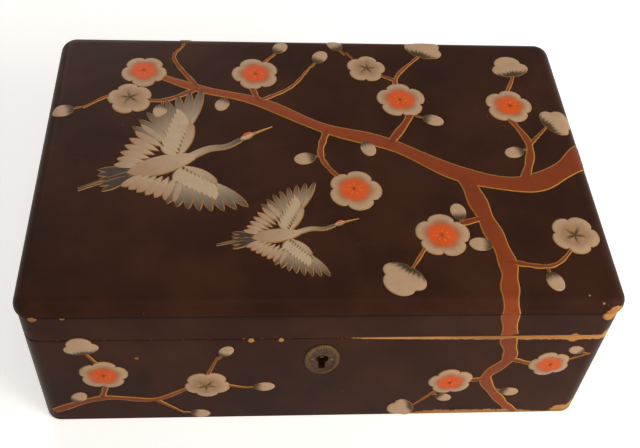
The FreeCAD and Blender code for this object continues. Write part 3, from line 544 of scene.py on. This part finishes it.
def close_shell(mesh, reach):
    """Merge points within reach of each other and turn the faces outwards."""
    shell = bmesh.new()
    shell.from_mesh(mesh)
    bmesh.ops.remove_doubles(shell, verts=shell.verts, dist=reach)
    bmesh.ops.recalc_face_normals(shell, faces=shell.faces)
    shell.to_mesh(mesh)
    shell.free()


def shown(mesh, finish):
    """Object of a mesh, named as the mesh is, smooth and with its finish."""
    mesh.shade_smooth()
    mesh.materials.append(finish)
    return stand(mesh.name, mesh)


def make_enamel():
    """Enamel paint: the stroke's own tint, faded unevenly, with a satin surface."""
    enamel = Finish("enamel_paint")
    tint = enamel.add("ShaderNodeAttribute", attribute_name="tint").outputs["Color"]
    rubbed = enamel.fade(enamel.mottle(120, 5, 0.65), 0.4, 0.8, 0, 0.3)
    tone = enamel.blend(rubbed, tint, enamel.blend(1.0, tint, (0.55, 0.5, 0.46, 1), "MULTIPLY"))
    return enamel.set(Base_Color=tone, Roughness=0.5, Specular_IOR_Level=0.12,
                      Normal=enamel.relief(enamel.mottle(600, 3, 0.6), 0.06 * MM, 0.6))


enamel_finish = make_enamel()


def lay_enamel(name, body, batches):
    """One mesh from batches of points and tints, each (strokes, rings, points of a ring, 3)."""
    quads, start = [], 0
    for spots, _ in batches:
        shape = spots.shape[:3]
        quads.append(ring_faces(np.arange(math.prod(shape)).reshape(shape) + start).reshape(-1, 4))
        start += math.prod(shape)
    points, tints = (np.concatenate([batch[part].reshape(-1, 3) for batch in batches]) for part in (0, 1))
    mesh = mesh_of(name, points, np.concatenate(quads))
    rgba = np.concatenate([tints, np.ones((start, 1))], axis=1).astype(np.float32)
    mesh.attributes.new("tint", "FLOAT_COLOR", "POINT").data.foreach_set("color", rgba.ravel())
    close_shell(mesh, SEAM_REACH)
    piece = shown(mesh, enamel_finish)
    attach(piece, body)
    print(name, "triangles", 2 * len(mesh.polygons))


print("nodes in the enamel:", len(enamel_finish.node_tree.nodes))

# %% [markdown]
# Boughs grow in over the right shoulder of the lid. They could be curve objects. Here a few listed points
# are joined by a smooth curve and the width falls towards the tip, so a bough is one row of a list.
# One bough runs over the front edge and goes on below the seam as a stroke of its own, because the lid
# moves away from it.

# %% Boughs and twigs
def ink(red, green, blue):
    """Tint for enamel as three linear numbers."""
    return np.array(colour(red, green, blue)[:3])


BARK, BARK_DARK, GOLD = ink(140, 64, 24), ink(118, 49, 19), ink(178, 126, 54)
BOUGH_STEPS, BOUGH_RISE = 160, 0.28 * MM
KNOB_DEPTH, KNOB_WAVES, KNOB_SHIFT = 0.1, 37, 1.7


def smooth_line(points, steps):
    """Curve through the points: each stretch is a cubic whose slope at a point is half the step past it."""
    knots = np.array(points, dtype=float)
    ends = np.vstack([2 * knots[0] - knots[1], knots, 2 * knots[-1] - knots[-2]])
    place = np.linspace(0, len(knots) - 1, steps)
    index = np.minimum(place.astype(int), len(knots) - 2)
    t = (place - index)[:, None]
    before, first, second, after = (ends[index + shift] for shift in range(4))
    return 0.5 * (2 * first + (second - before) * t + (2 * before - 5 * first + 4 * second - after) * t ** 2
                  + (3 * first - before - 3 * second + after) * t ** 3)


def boughs(ground, shapes):
    """Strokes for boughs: each shape has its points, first width and last width in millimetres.

    The width goes evenly from first to last, times a sine along the bough that makes its knobs.
    """
    share = np.linspace(0, 1, BOUGH_STEPS)
    lines = np.stack([smooth_line(points, BOUGH_STEPS) for points, _, _ in shapes]) * MM
    first, last = np.array([shape[1:] for shape in shapes]).T[..., None] * MM / 2
    knobs = 1 + KNOB_DEPTH * np.sin(share * KNOB_WAVES + np.arange(len(shapes))[:, None] * KNOB_SHIFT)
    half = (first * (1 - share) + last * share) * knobs
    half[:, 0] = half[:, -1] = 0
    return enamel_strokes(ground, lines, half, BOUGH_RISE, BARK_DARK, BARK, GOLD)


LID_BOUGHS = [
    ([(144, 6), (126, -10), (104, -20), (72, -13), (38, 8), (4, 20), (-30, 40), (-62, 50), (-92, 64)],
     13.5, 4.5),
    ([(74, -13), (80, -42), (86, -70), (84, -92), (88, -117.5)], 10, 8),
    ([(38, 8), (52, 34), (46, 58), (62, 80)], 5, 1.8),
    ([(6, 20), (2, -2), (16, -24)], 4.5, 2),
    ([(-30, 40), (-34, 60), (-22, 78)], 4, 1.6),
    ([(-62, 50), (-76, 74), (-72, 86)], 3.4, 1.4),
    ([(-62, 50), (-82, 40), (-106, 44), (-122, 34)], 3.6, 1.6),
    ([(104, -20), (112, 8), (104, 36), (114, 64)], 5.5, 1.8),
    ([(80, -42), (56, -52), (40, -74)], 4, 1.6),
    ([(86, -70), (108, -72), (124, -56)], 3.6, 1.4),
    ([(46, 58), (30, 68), (20, 82)], 2.6, 1.2),
    ([(112, 8), (126, 24)], 2.6, 1.2),
    ([(-30, 40), (-12, 52), (0, 70)], 3, 1.4),
]
FRONT_BOUGHS = [
    ([(88, 72), (92, 54), (84, 36), (96, 14), (106, 2)], 8, 4.5),
    ([(84, 36), (66, 30), (50, 10)], 3.8, 1.6),
    ([(92, 54), (112, 48), (132, 58)], 3.6, 1.4),
    ([(-134, 10), (-108, 22), (-82, 20), (-58, 34), (-36, 30)], 5, 1.8),
    ([(-108, 22), (-104, 44), (-112, 64)], 3.4, 1.4),
    ([(-82, 20), (-68, 6)], 2.8, 1.2),
    ([(-58, 34), (-50, 58)], 2.6, 1.2),
]
lay_enamel("lid_boughs", "lid", [boughs(on_lid, LID_BOUGHS)])
lay_enamel("front_boughs", "base", [boughs(on_front, FRONT_BOUGHS)])

# %% [markdown]
# An open blossom has five lobes: pale at the rim and warm coral in the heart, or white with a dark star.
# Five petals could be laid over each other, but old enamel is one thick drop. The lobes come from the size
# of a cosine, which is round on top and sharp in the notches, as petals meet.

# %% Open blossoms
CREAM, CORAL, PALE = ink(162, 127, 98), ink(216, 84, 28), ink(182, 152, 122)
STRAW, OLIVE, SOOT, DUSK = ink(214, 170, 92), ink(74, 58, 30), ink(44, 30, 22), ink(148, 102, 72)
STROKE_STEPS = 12
LOBES, STAMENS = 5, 7
BLOSSOM_RISE, STAMEN_RISE = 0.6 * MM, 0.8 * MM


def straight_strokes(starts, angles, lengths, steps):
    """Straight lines from starting points at given angles and lengths."""
    share = np.linspace(0, 1, steps)[None, :, None]
    return starts[:, None, :] + towards(angles)[:, None, :] * share * lengths[:, None, None]


def pear(steps, fullness):
    """Width share along a feather: the sine of a warped half turn, fuller towards the tip."""
    share = np.linspace(0, 1, steps)
    return np.sin(math.pi * share ** fullness) ** 0.62


def mixed(amount, first, second):
    """Two tints mixed by an array of shares."""
    return first * (1 - amount[..., None]) + second * amount[..., None]


def step(value, low, high):
    """Smooth step from 0 to 1 as a value goes from low to high."""
    t = np.clip((value - low) / (high - low), 0, 1)
    return t * t * (3 - 2 * t)


def columns_of(shapes):
    """Centres, sizes and turns of a list of (x, v, size, turn), in metres and radians."""
    table = np.array(shapes, dtype=float)
    return table[:, :2] * MM, table[:, 2] * MM, np.radians(table[:, 3])


def open_blossoms(ground, shapes, coral):
    """Five-lobed patches with a ring of stamens round the eye."""
    centres, radii, turns = columns_of(shapes)
    uneven = np.sin(np.arange(len(shapes)) * 2.4)[:, None]

    def outline(angle):
        lobe = np.abs(np.cos(LOBES / 2 * angle)) ** 0.55
        return radii[:, None] * (0.8 + 0.2 * lobe) * (1 + 0.05 * np.cos(angle + uneven * 3))

    def paint(share, angle):
        lobe = np.abs(np.cos(LOBES / 2 * angle))
        reach = share * (0.8 + 0.2 * lobe ** 0.55)
        fold = (1 - step(lobe, 0.0, 0.3)) * step(share, 0.35, 0.8)
        petal = mixed(step(share, 0.5, 0.85), DUSK if coral else CREAM, PALE)
        petal = mixed(0.22 * fold, petal, OLIVE * 0.5 + CREAM * 0.5)
        heart = CORAL if coral else SOOT * 0.4 + OLIVE * 0.6
        spread = 0.58 if coral else 0.26 + 0.16 * np.cos(LOBES * angle)
        tint = mixed(1 - step(reach, spread - 0.26, spread + 0.14), petal, heart)
        return mixed(0.7 * step(share, 0.93, 0.97), tint, GOLD * 0.6 + CREAM * 0.4)

    patches = enamel_patches(ground, centres, turns, outline, BLOSSOM_RISE, paint)
    angles = (turns[:, None] + np.arange(STAMENS) * math.tau / STAMENS + 0.3).ravel()
    size = np.repeat(radii, STAMENS)
    lines = straight_strokes(np.repeat(centres, STAMENS, axis=0), angles, size * (0.3 if coral else 0.42),
                             STROKE_STEPS)
    tones = (SOOT, STRAW, CORAL * 0.6 + STRAW * 0.4) if coral else (OLIVE, STRAW, STRAW)
    half = size[:, None] * 0.028 * pear(STROKE_STEPS, 1.8)
    return [patches, enamel_strokes(ground, lines, half, STAMEN_RISE, *tones)]


print("open blossoms with", LOBES, "lobes and", STAMENS, "stamens")

# %% [markdown]
# From the side a blossom shows three lobes above a dark calyx, and a bud is an egg on a short stalk. They
# could be modelled apart, but a drop of enamel has the same section whatever its outline is, so both are
# patches again. The stalks are lower than the boughs, so they start under them.

# %% Side blossoms and buds
SIDE_RISE, BUD_RISE, STALK_RISE = 0.58 * MM, 0.48 * MM, 0.18 * MM
STALK_HALF = 0.85 * MM
EGG_LONG, EGG_WIDE = 0.52, 0.37


def calyx_paint(depth, waves, low, high, dark, rim):
    """Paint from a dark calyx to a pale tip along the axis, streaked by a cosine, with a gold rim."""
    def paint(share, angle):
        streak = depth * np.cos(share * np.sin(angle) * waves)
        tint = mixed(step(share * np.cos(angle) + streak, low, high), dark, PALE)
        return mixed(rim * step(share, 0.94, 0.97), tint, GOLD * 0.5 + CREAM * 0.5)

    return paint


def side_blossoms(ground, shapes):
    """Three lobes over a dark calyx: the radius is long in front of the calyx and short behind it."""
    feet, radii, turns = columns_of(shapes)
    centres = feet + towards(turns) * radii[:, None] * 0.5

    def outline(angle):
        bent = (angle + math.pi) % math.tau - math.pi
        front = 0.72 + 0.28 * np.abs(np.cos(1.5 * bent)) ** 0.5
        return radii[:, None] * (front * (0.62 + 0.38 * step(np.cos(bent), -0.9, 0.2)))

    paint = calyx_paint(0.12, 26, -0.55, -0.1, OLIVE * 0.7 + SOOT * 0.3, 0.6)
    return [enamel_patches(ground, centres, turns, outline, SIDE_RISE, paint)]


def buds(ground, shapes):
    """Eggs on stalks; each shape has its foot, its length in millimetres and its angle in degrees.

    An egg is an ellipse about its middle, a tenth longer in front and shorter behind.
    """
    feet, lengths, angles = columns_of(shapes)
    heading = towards(angles)
    centres = feet + heading * lengths[:, None] * 0.85

    def outline(angle):
        ellipse = EGG_LONG * EGG_WIDE / np.hypot(EGG_WIDE * np.cos(angle), EGG_LONG * np.sin(angle))
        return lengths[:, None] * (ellipse * (1 + 0.1 * np.cos(angle)))

    paint = calyx_paint(0.16, 22, -0.75, 0.05, OLIVE * 0.6 + SOOT * 0.4, 0.55)
    lines = straight_strokes(feet - heading * MM, angles, lengths * 0.6, STROKE_STEPS)
    half = STALK_HALF * pear(STROKE_STEPS, 1.0)
    stalks = enamel_strokes(ground, lines, half, STALK_RISE, BARK, OLIVE, GOLD)
    return [stalks, enamel_patches(ground, centres, angles, outline, BUD_RISE, paint)]


# Each shape: place across and up the drawing, size in millimetres, turn in degrees.
LID_CORAL = [(47, 42, 13.5, 20), (17, -24, 13.5, 70), (107, 38, 13, 5), (-92, 64, 12.5, 55),
             (57, -54, 13.5, 15), (-31, 62, 13, 35)]
LID_WHITE = [(122, -54, 12, 60), (-98, 42, 12, 30), (31, 68, 11, 10)]
LID_SIDE = [(62, 79, 12, 65), (114, 63, 11.5, 100), (124, 22, 11, 30), (40, -73, 12, 235)]
LID_BUDS = [(54, 30, 11, -20), (19, 80, 11, 120), (3, 0, 11, 195), (-22, 77, 10.5, 60), (-72, 85, 9, 80),
            (-122, 35, 11.5, 200), (0, 69, 11, 60), (112, 6, 10.5, 200), (104, -72, 11, 285),
            (85, -60, 11, 175), (-46, 46, 10, 250), (24, 14, 10.5, 285), (-80, 41, 10, 260),
            (68, -48, 10.5, 95)]
FRONT_CORAL = [(66, 33, 11.5, 30), (-105, 44, 12, 10), (114, 49, 10.5, 40)]
FRONT_WHITE = [(-56, 33, 11.5, 55)]
FRONT_SIDE = [(-112, 62, 9, 100), (50, 10, 9, 200)]
FRONT_BUDS = [(131, 57, 8.5, 150), (-37, 30, 10.5, 5), (-69, 7, 10, 350), (-50, 56, 9, 60),
              (90, 25, 10, 345), (-124, 15, 10, 60), (58, 22, 9, 330)]


def all_blossoms(ground, coral, white, side, closed):
    """Batches of coral and white blossoms, of blossoms from the side and of buds, on one ground."""
    return (open_blossoms(ground, coral, True) + open_blossoms(ground, white, False)
            + side_blossoms(ground, side) + buds(ground, closed))


lay_enamel("lid_blossoms", "lid", all_blossoms(on_lid, LID_CORAL, LID_WHITE, LID_SIDE, LID_BUDS))
lay_enamel("front_blossoms", "base",
           all_blossoms(on_front, FRONT_CORAL, FRONT_WHITE, FRONT_SIDE, FRONT_BUDS))

# %% [markdown]
# A flying crane could be drawn as one outline, but a painter lays it feather by feather. It is built in its
# own small frame, beak forwards, one unit from rump to breast. Wing feathers fan out from the arm of the
# wing, and the long ones end in dark tips. A turn, a size and a place lay it on the lid.

# %% Cranes in flight
INK, OCHRE, SNOW = ink(60, 46, 38), ink(158, 116, 68), ink(186, 164, 136)
FEATHER_STEPS = 14
# Each crane: place in millimetres, heading in degrees, size of its unit in millimetres.
CRANES = [((-78, -8), 18, 33), ((-22, -54), 6, 22)]


def fan(root_from, root_to, angles, lengths, count, width):
    """Feathers spread evenly between two roots, two angles and two lengths, as lines and half widths."""
    share = np.linspace(0, 1, count)
    roots = np.outer(1 - share, root_from) + np.outer(share, root_to)
    turns = np.radians(angles[0] + (angles[1] - angles[0]) * share)
    reach = lengths[0] + (lengths[1] - lengths[0]) * share
    return straight_strokes(roots, turns, reach, FEATHER_STEPS), width * pear(FEATHER_STEPS, 1.25)


def crane(place, heading, size):
    """Strokes of one crane: tail, legs, wings, body, neck, head, crown and beak, in drawing order."""
    turn = np.radians(heading)
    spin = np.array([[math.cos(turn), -math.sin(turn)], [math.sin(turn), math.cos(turn)]])
    taper = pear(FEATHER_STEPS, 0.9)

    def lay(lines, widths, rise, *tones):
        spots = (np.array(lines) @ spin.T * size + np.array(place)) * MM
        return enamel_strokes(on_lid, spots, np.array(widths) * size * MM, rise * MM, *tones)

    def curve(*points):
        return [smooth_line(points, FEATHER_STEPS)]

    def wing(side, reach):
        breast, rump = (0.28, 0.1 * side), (-0.3, 0.09 * side)
        wrist, elbow = (0.62, 0.66 * side * reach), (0.2, 0.42 * side * reach)
        long_feathers = fan(wrist, elbow, (62 * side, 128 * side), (0.95 * reach, 0.7 * reach), 8, 0.085)
        inner_feathers = fan(elbow, rump, (118 * side, 160 * side), (0.62 * reach, 0.42), 7, 0.09)
        coverts = fan(wrist, breast, (100 * side, 125 * side), (0.5 * reach, 0.36), 9, 0.085)
        arm = curve(breast, (0.5, 0.4 * side * reach), wrist, (0.66, 0.78 * side * reach))
        return [lay(*long_feathers, 0.32, SNOW, INK, OCHRE), lay(*inner_feathers, 0.36, SNOW, CREAM, OCHRE),
                lay(*coverts, 0.42, SNOW, SNOW, OCHRE), lay(arm, 0.09 * taper, 0.5, SNOW, CREAM, OCHRE)]

    neck_width = np.linspace(0.085, 0.05, FEATHER_STEPS) * np.minimum(1, 3 * taper)
    beak_width = np.linspace(0.035, 0.006, FEATHER_STEPS)
    return [
        lay(*fan((-0.42, 0.06), (-0.42, -0.06), (165, 198), (0.55, 0.6), 5, 0.07), 0.3, INK, INK, OCHRE),
        lay(curve((-0.35, -0.05), (-0.8, -0.06), (-1.3, -0.115)), 0.024, 0.3, OCHRE, INK, OCHRE),
        lay(curve((-0.35, 0.05), (-0.8, 0.0), (-1.3, -0.085)), 0.024, 0.3, OCHRE, INK, OCHRE),
        *wing(1, 1.0), *wing(-1, 0.8),
        lay(curve((-0.55, 0), (0, 0.02), (0.58, 0.05)), 0.2 * taper, 0.6, CREAM, SNOW, OCHRE),
        lay(curve((0.4, 0.04), (0.75, 0.13), (1.05, 0.1), (1.36, 0.2)), neck_width, 0.55, SNOW, INK, OCHRE),
        lay(curve((1.28, 0.17), (1.42, 0.22), (1.54, 0.25)), 0.065 * taper, 0.6, SNOW, SNOW, OCHRE),
        lay(curve((1.34, 0.225), (1.42, 0.26), (1.5, 0.275)), 0.04 * taper, 0.75, CORAL, CORAL, CORAL),
        lay(curve((1.5, 0.24), (1.66, 0.27), (1.86, 0.3)), beak_width, 0.5, OCHRE, STRAW, GOLD),
    ]


lay_enamel("cranes", "lid", [stroke for shape in CRANES for stroke in crane(*shape)])

# %% [markdown]
# The escutcheon is stamped brass: an oval with a milled rim, hollow towards the keyhole. The milling could
# be a bump in the material, but real ridges show in the outline. A section is carried round the oval, from
# the keyhole's wall over the dish and the crest of the rim to the wood. The dish has gone nearly black and
# the ridges are rubbed bright, so every point carries how far it is rubbed.

# %% Escutcheon
plate_low, plate_high = np.array(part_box("escutcheon"))
OVAL_MIDDLE = (plate_low + plate_high) / 2
OVAL_HALF = (plate_high - plate_low) / 2
RIM_WIDTH = 2.2 * MM
KEY_HEAD, KEY_SLOT, KEY_DROP, KEY_RISE = 3.2 * MM, 1.7 * MM, 6.9 * MM, 0.7 * MM
MILLING, COLUMNS = 40, 400
DISH_EDGE, DISH_DEPTH = 0.45, 0.17

# Rows of the section: share of the way from keyhole to rim, inset from the oval, rise, milling, rubbed.
DISH_ROWS = [(0.0, 1.0, 0.0, 0.0, 0.0), (0.0, 1.0, 0.36, 0.0, 0.25), (0.06, 1.0, DISH_EDGE, 0.0, 0.3)]
DISH_ROWS += [(share, 1.0, DISH_EDGE - DISH_DEPTH * math.sin(math.pi * share), 0.0, 0.04)
              for share in np.linspace(0.2, 0.95, 6)]
RIM_ROWS = [(1.0, 1.0, 0.52, 0.0, 0.1), (1.0, 0.9, 0.62, 0.0, 0.3), (1.0, 0.76, 0.86, 0.12, 0.8),
            (1.0, 0.55, 0.98, 0.36, 1.0), (1.0, 0.32, 0.98, 0.4, 1.0), (1.0, 0.14, 0.8, 0.34, 0.8),
            (1.0, 0.02, 0.45, 0.1, 0.4), (1.0, 0.0, 0.0, 0.0, 0.0)]


def keyhole_reach(angle):
    """Distance from the head's middle to the keyhole's edge: the head's circle or the slot's wall or end."""
    down = np.abs((angle + math.pi / 2 + math.pi) % math.tau - math.pi)
    sine = np.maximum(np.sin(np.minimum(down, math.pi / 2)), 1e-6)
    wall = KEY_SLOT / sine
    inside = np.maximum(KEY_SLOT ** 2 - (KEY_DROP * sine) ** 2, 0)
    end = KEY_DROP * np.cos(down) + np.sqrt(inside)
    slot = np.where(KEY_DROP * sine < KEY_SLOT, np.minimum(end, np.where(wall > KEY_DROP, end, wall)), wall)
    return np.where(down < math.asin(KEY_SLOT / KEY_HEAD), np.maximum(slot, KEY_HEAD), KEY_HEAD)


def escutcheon_surface():
    """Points and rubbed shares, rows by columns: keyhole and oval mixed in plan, raised row by row."""
    angle = np.linspace(0, math.tau, COLUMNS, endpoint=False)
    around = towards(angle).T
    hole = around * keyhole_reach(angle) + np.array([[0], [KEY_RISE]])
    share, inset, rise, milled, rubbed = np.array(DISH_ROWS + RIM_ROWS).T[..., None]
    wave = 0.5 + 0.5 * np.cos(MILLING * angle)
    plan = [hole[axis] * (1 - share) + around[axis] * (OVAL_HALF[2 * axis] - inset * RIM_WIDTH) * share
            for axis in (0, 1)]
    points = np.stack([plan[0], -(rise - milled * wave) * MM, plan[1]], axis=-1)
    on_ridge = np.where(milled > 0.1, 1 - 0.85 * wave, 1.0)
    # The rubbed share also grows towards the top of the oval.
    from_above = 0.6 + 0.4 * np.sin(angle)
    foot = np.array([OVAL_MIDDLE[0], plate_high[1], OVAL_MIDDLE[2]])
    return points + foot, rubbed * on_ridge * from_above


def make_stamped_brass():
    """Brass that is nearly black except where the rubbed share says otherwise, mottled by age."""
    brass = Finish("stamped_brass")
    rubbed = brass.add("ShaderNodeAttribute", attribute_name="rubbed").outputs["Fac"]
    age = brass.mottle(420, 6, 0.65)
    dull = brass.blend(brass.fade(age, 0.35, 0.7), colour(52, 33, 21), colour(78, 54, 32))
    tone = brass.blend(rubbed, dull, colour(130, 98, 51))
    return brass.set(Base_Color=tone, Metallic=brass.fade(rubbed, 0.0, 1.0, 0.35, 0.9),
                     Roughness=brass.fade(age, 0.3, 0.7, 0.6, 0.42), Specular_IOR_Level=0.2,
                     Normal=brass.relief(age, 0.05 * MM, 0.6))


def make_escutcheon():
    """Piece of the surface, closed round the oval and from the last row back to the first."""
    points, rubbed = escutcheon_surface()
    numbers = np.arange(rubbed.size).reshape(rubbed.shape)
    mesh = mesh_of("escutcheon_milled", points, ring_faces(np.vstack([numbers, numbers[:1]])))
    layer = mesh.attributes.new("rubbed", "FLOAT", "POINT")
    layer.data.foreach_set("value", rubbed.astype(np.float32).ravel())
    close_shell(mesh, SEAM_REACH)
    piece = shown(mesh, make_stamped_brass())
    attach(piece, "base")
    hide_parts("escutcheon")
    return len(mesh.polygons)


print("escutcheon faces", make_escutcheon())

# %% [markdown]
# The floor and the lid are lined with velvet over thin wadding. Its crown could be a formula too, but a
# thin closed slab that Blender's Cloth blows up a little crowns between the held lines as real wadding
# does.

# %% Slabs and cloth
CELL = 4 * MM
CLOTH_FRAMES = 20
PRESSURE, SWELL_CAP = 4, 2.2 * MM
TOUCH = 1e-6


def slab(low, high):
    """Closed slab: the same grid for the lower and the upper face, joined by a strip round the border."""
    across, back = (np.linspace(low[axis], high[axis], round((high[axis] - low[axis]) / CELL) + 1)
                    for axis in (0, 1))
    x, y = np.meshgrid(across, back, indexing="ij")
    points = np.stack([np.stack([x, y, np.full_like(x, level)], axis=-1) for level in (low[2], high[2])])
    grid = np.arange(points[..., 0].size).reshape(points.shape[:3])
    squares = np.stack([grid[:, :-1, :-1], grid[:, 1:, :-1], grid[:, 1:, 1:], grid[:, :-1, 1:]], axis=-1)
    ring = [np.concatenate([sheet[:-1, 0], sheet[-1, :-1], sheet[:0:-1, -1], sheet[0, :0:-1]])
            for sheet in grid]
    strip = np.stack([ring[0], np.roll(ring[0], -1), np.roll(ring[1], -1), ring[1]], axis=-1)
    faces = np.concatenate([squares[0, ..., ::-1].reshape(-1, 4), squares[1].reshape(-1, 4), strip])
    return points.reshape(-1, 3), faces


def velvet_piece(name, body, points, faces, *nodes):
    """Smooth velvet mesh that rides a body and stands for its CAD nodes."""
    piece = shown(mesh_of(name, points, faces), velvet_finish)
    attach(piece, body)
    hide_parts(*nodes)
    return piece


def near(value, places, reach):
    """True where a value is within reach of any of the places."""
    return (np.abs(value[:, None] - np.array(places)) < reach).any(axis=1)


def hold(piece, share):
    """Vertex group of the points that the stitches and boards hold."""
    group = piece.vertex_groups.new(name="held")
    group.add(np.flatnonzero(share).tolist(), 1.0, "REPLACE")


def coordinates(mesh):
    """The mesh's points as an array."""
    spots = np.empty(3 * len(mesh.vertices))
    mesh.vertices.foreach_get("co", spots)
    return spots.reshape(-1, 3)


def blow_up(pieces):
    """Cloth with pressure on all pieces at once; no point goes further than the cap from its start."""
    for piece in pieces:
        cloth = piece.modifiers.new("wadding", "CLOTH")
        cloth.settings.use_pressure = True
        cloth.settings.uniform_pressure_force = PRESSURE
        cloth.settings.effector_weights.gravity = 0
        cloth.settings.vertex_group_mass = "held"
        cloth.settings.shrink_min = -0.02
        cloth.collision_settings.use_collision = False
        cloth.point_cache.frame_end = CLOTH_FRAMES
    for number in range(1, CLOTH_FRAMES + 1):
        bpy.context.scene.frame_set(number)
    graph = bpy.context.evaluated_depsgraph_get()
    grown = [coordinates(piece.evaluated_get(graph).data) for piece in pieces]
    for piece, spots in zip(pieces, grown):
        piece.modifiers.clear()
        start = coordinates(piece.data)
        move = spots - start
        length = np.linalg.norm(move, axis=1, keepdims=True)
        spots = start + move * np.minimum(1, SWELL_CAP / np.maximum(length, 1e-12))
        piece.data.vertices.foreach_set("co", spots.ravel())
        piece.data.update()
        print(piece.name, "swelled by up to", round(float(length.max()) / MM, 2), "mm")
    bpy.context.scene.frame_set(1)


print("grid of", CELL / MM, "mm, cap", SWELL_CAP / MM, "mm")

# %% [markdown]
# The floor pad is one sheet under all the compartments, held at the walls and under the dividers. The lid
# pad hangs upside down, with a line of stitches all round drawn up into the wadding. They could be separate
# cushions, but one sheet each is simpler to sew and to hold.

# %% Padded floor and lid
WALL_HOLD, DIVIDER_HOLD = 3 * MM, 5 * MM
BORDER, EDGE_HOLD, STITCH_DEPTH = 14 * MM, 1 * MM, 1.6 * MM

floor_low, floor_high = np.array(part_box("floor_pad"))
long_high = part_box("long_divider")[1]
cross_x = [float(np.mean([corner[0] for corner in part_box(side)]))
           for side in ("left_divider", "right_divider")]
floor_points, floor_faces = slab(floor_low, floor_high)
floor_cushion = velvet_piece("floor_cushion", "base", floor_points, floor_faces, "floor_pad")
x, y, z = floor_points.T
at_walls = near(x, (floor_low[0], floor_high[0]), WALL_HOLD) | near(y, (floor_high[1],), WALL_HOLD)
at_dividers = (y < long_high[1] + WALL_HOLD) | near(x, cross_x, DIVIDER_HOLD)
hold(floor_cushion, (z < floor_high[2] - TOUCH) | at_walls | at_dividers)

pad_low, pad_high = np.array(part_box("lid_pad"))
lid_points, lid_faces = slab(pad_low, pad_high)
lid_cushion = velvet_piece("lid_cushion", "lid", lid_points, lid_faces, "lid_pad")
x, y, z = lid_points.T
inset = np.minimum(np.minimum(x - pad_low[0], pad_high[0] - x), np.minimum(y - pad_low[1], pad_high[1] - y))
stitched = np.abs(inset - BORDER) < 0.6 * CELL
hold(lid_cushion, (z > pad_low[2] + TOUCH) | (inset < EDGE_HOLD) | stitched)
lid_points[stitched & (z < pad_low[2] + TOUCH), 2] += STITCH_DEPTH
lid_cushion.data.vertices.foreach_set("co", lid_points.ravel())

blow_up([floor_cushion, lid_cushion])
for cushion, fill in ((floor_cushion, 0.35), (lid_cushion, 0.5)):
    smooth = cushion.modifiers.new("smooth", "SUBSURF")
    smooth.levels = smooth.render_levels = 1
print("pads:", len(floor_points), "and", len(lid_points), "points")

# %% [markdown]
# Rings are kept in the slits between four velvet rolls. A roll is foam in a sewn sleeve: round on top,
# flattened below and at its neighbours, and gathered at the ends. It could be blown up as the pads are, but
# so plain a sleeve would show nothing more, so it is a profile carried along X, pleated near the ends by a
# wave.

# %% Ring rolls
ROLL_STEPS, ROLL_RING = 90, 48
SQUARENESS, FLATTENED = 2.6, 1.06
GATHER, PLEAT_REACH = 3.5 * MM, 5 * MM
PLEATS, PLEAT_DEPTH, DENT_DEPTH = 16, 0.035, 0.02
ROLL_FILL = 1.04


def make_roll(number):
    """Profile of a squared circle that drops in a quarter ellipse at both ends, with pleats and dents."""
    name = f"ring_roll_{number}"
    low, high = np.array(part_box(name))
    middle, half = (low + high) / 2, (high - low) / 2
    ease = np.linspace(-math.pi / 2, math.pi / 2, ROLL_STEPS)
    along = np.sign(np.sin(ease)) * np.abs(np.sin(ease)) ** 0.8
    from_end = (1 - np.abs(along)) * half[0]
    gather = np.sqrt(np.clip(1 - (1 - np.clip(from_end / GATHER, 0, 1)) ** 2, 0, 1))
    angle = np.linspace(0, math.tau, ROLL_RING, endpoint=False)
    powers = np.abs(np.cos(angle)) ** SQUARENESS + np.abs(np.sin(angle)) ** SQUARENESS
    squared = np.minimum(1 / powers ** (1 / SQUARENESS), FLATTENED)
    fold = PLEAT_DEPTH * (0.5 + 0.5 * np.cos(PLEATS * angle))
    pleat = 1 - fold * np.exp(-from_end / PLEAT_REACH)[:, None]
    dent = 1 - DENT_DEPTH * (1 + np.sin(along * 17 + number * 2)[:, None] * np.cos(angle + number))
    size = gather[:, None] * pleat * dent * squared / FLATTENED
    x = np.broadcast_to((middle[0] + along * half[0])[:, None], size.shape)
    y = middle[1] + half[1] * np.clip(ROLL_FILL * size * np.cos(angle), -0.985, 0.985)
    z = middle[2] + half[2] * np.clip(ROLL_FILL * size * np.sin(angle), -0.98, 1.0)
    faces = ring_faces(np.arange(size.size).reshape(size.shape))[..., [0, 3, 2, 1]]
    roll = velvet_piece(f"{name}_sleeve", "base", np.stack([x, y, z], axis=-1), faces, name)
    close_shell(roll.data, TOUCH)
    return len(roll.data.polygons)


print("ring roll faces:", [make_roll(number) for number in range(1, 5)])
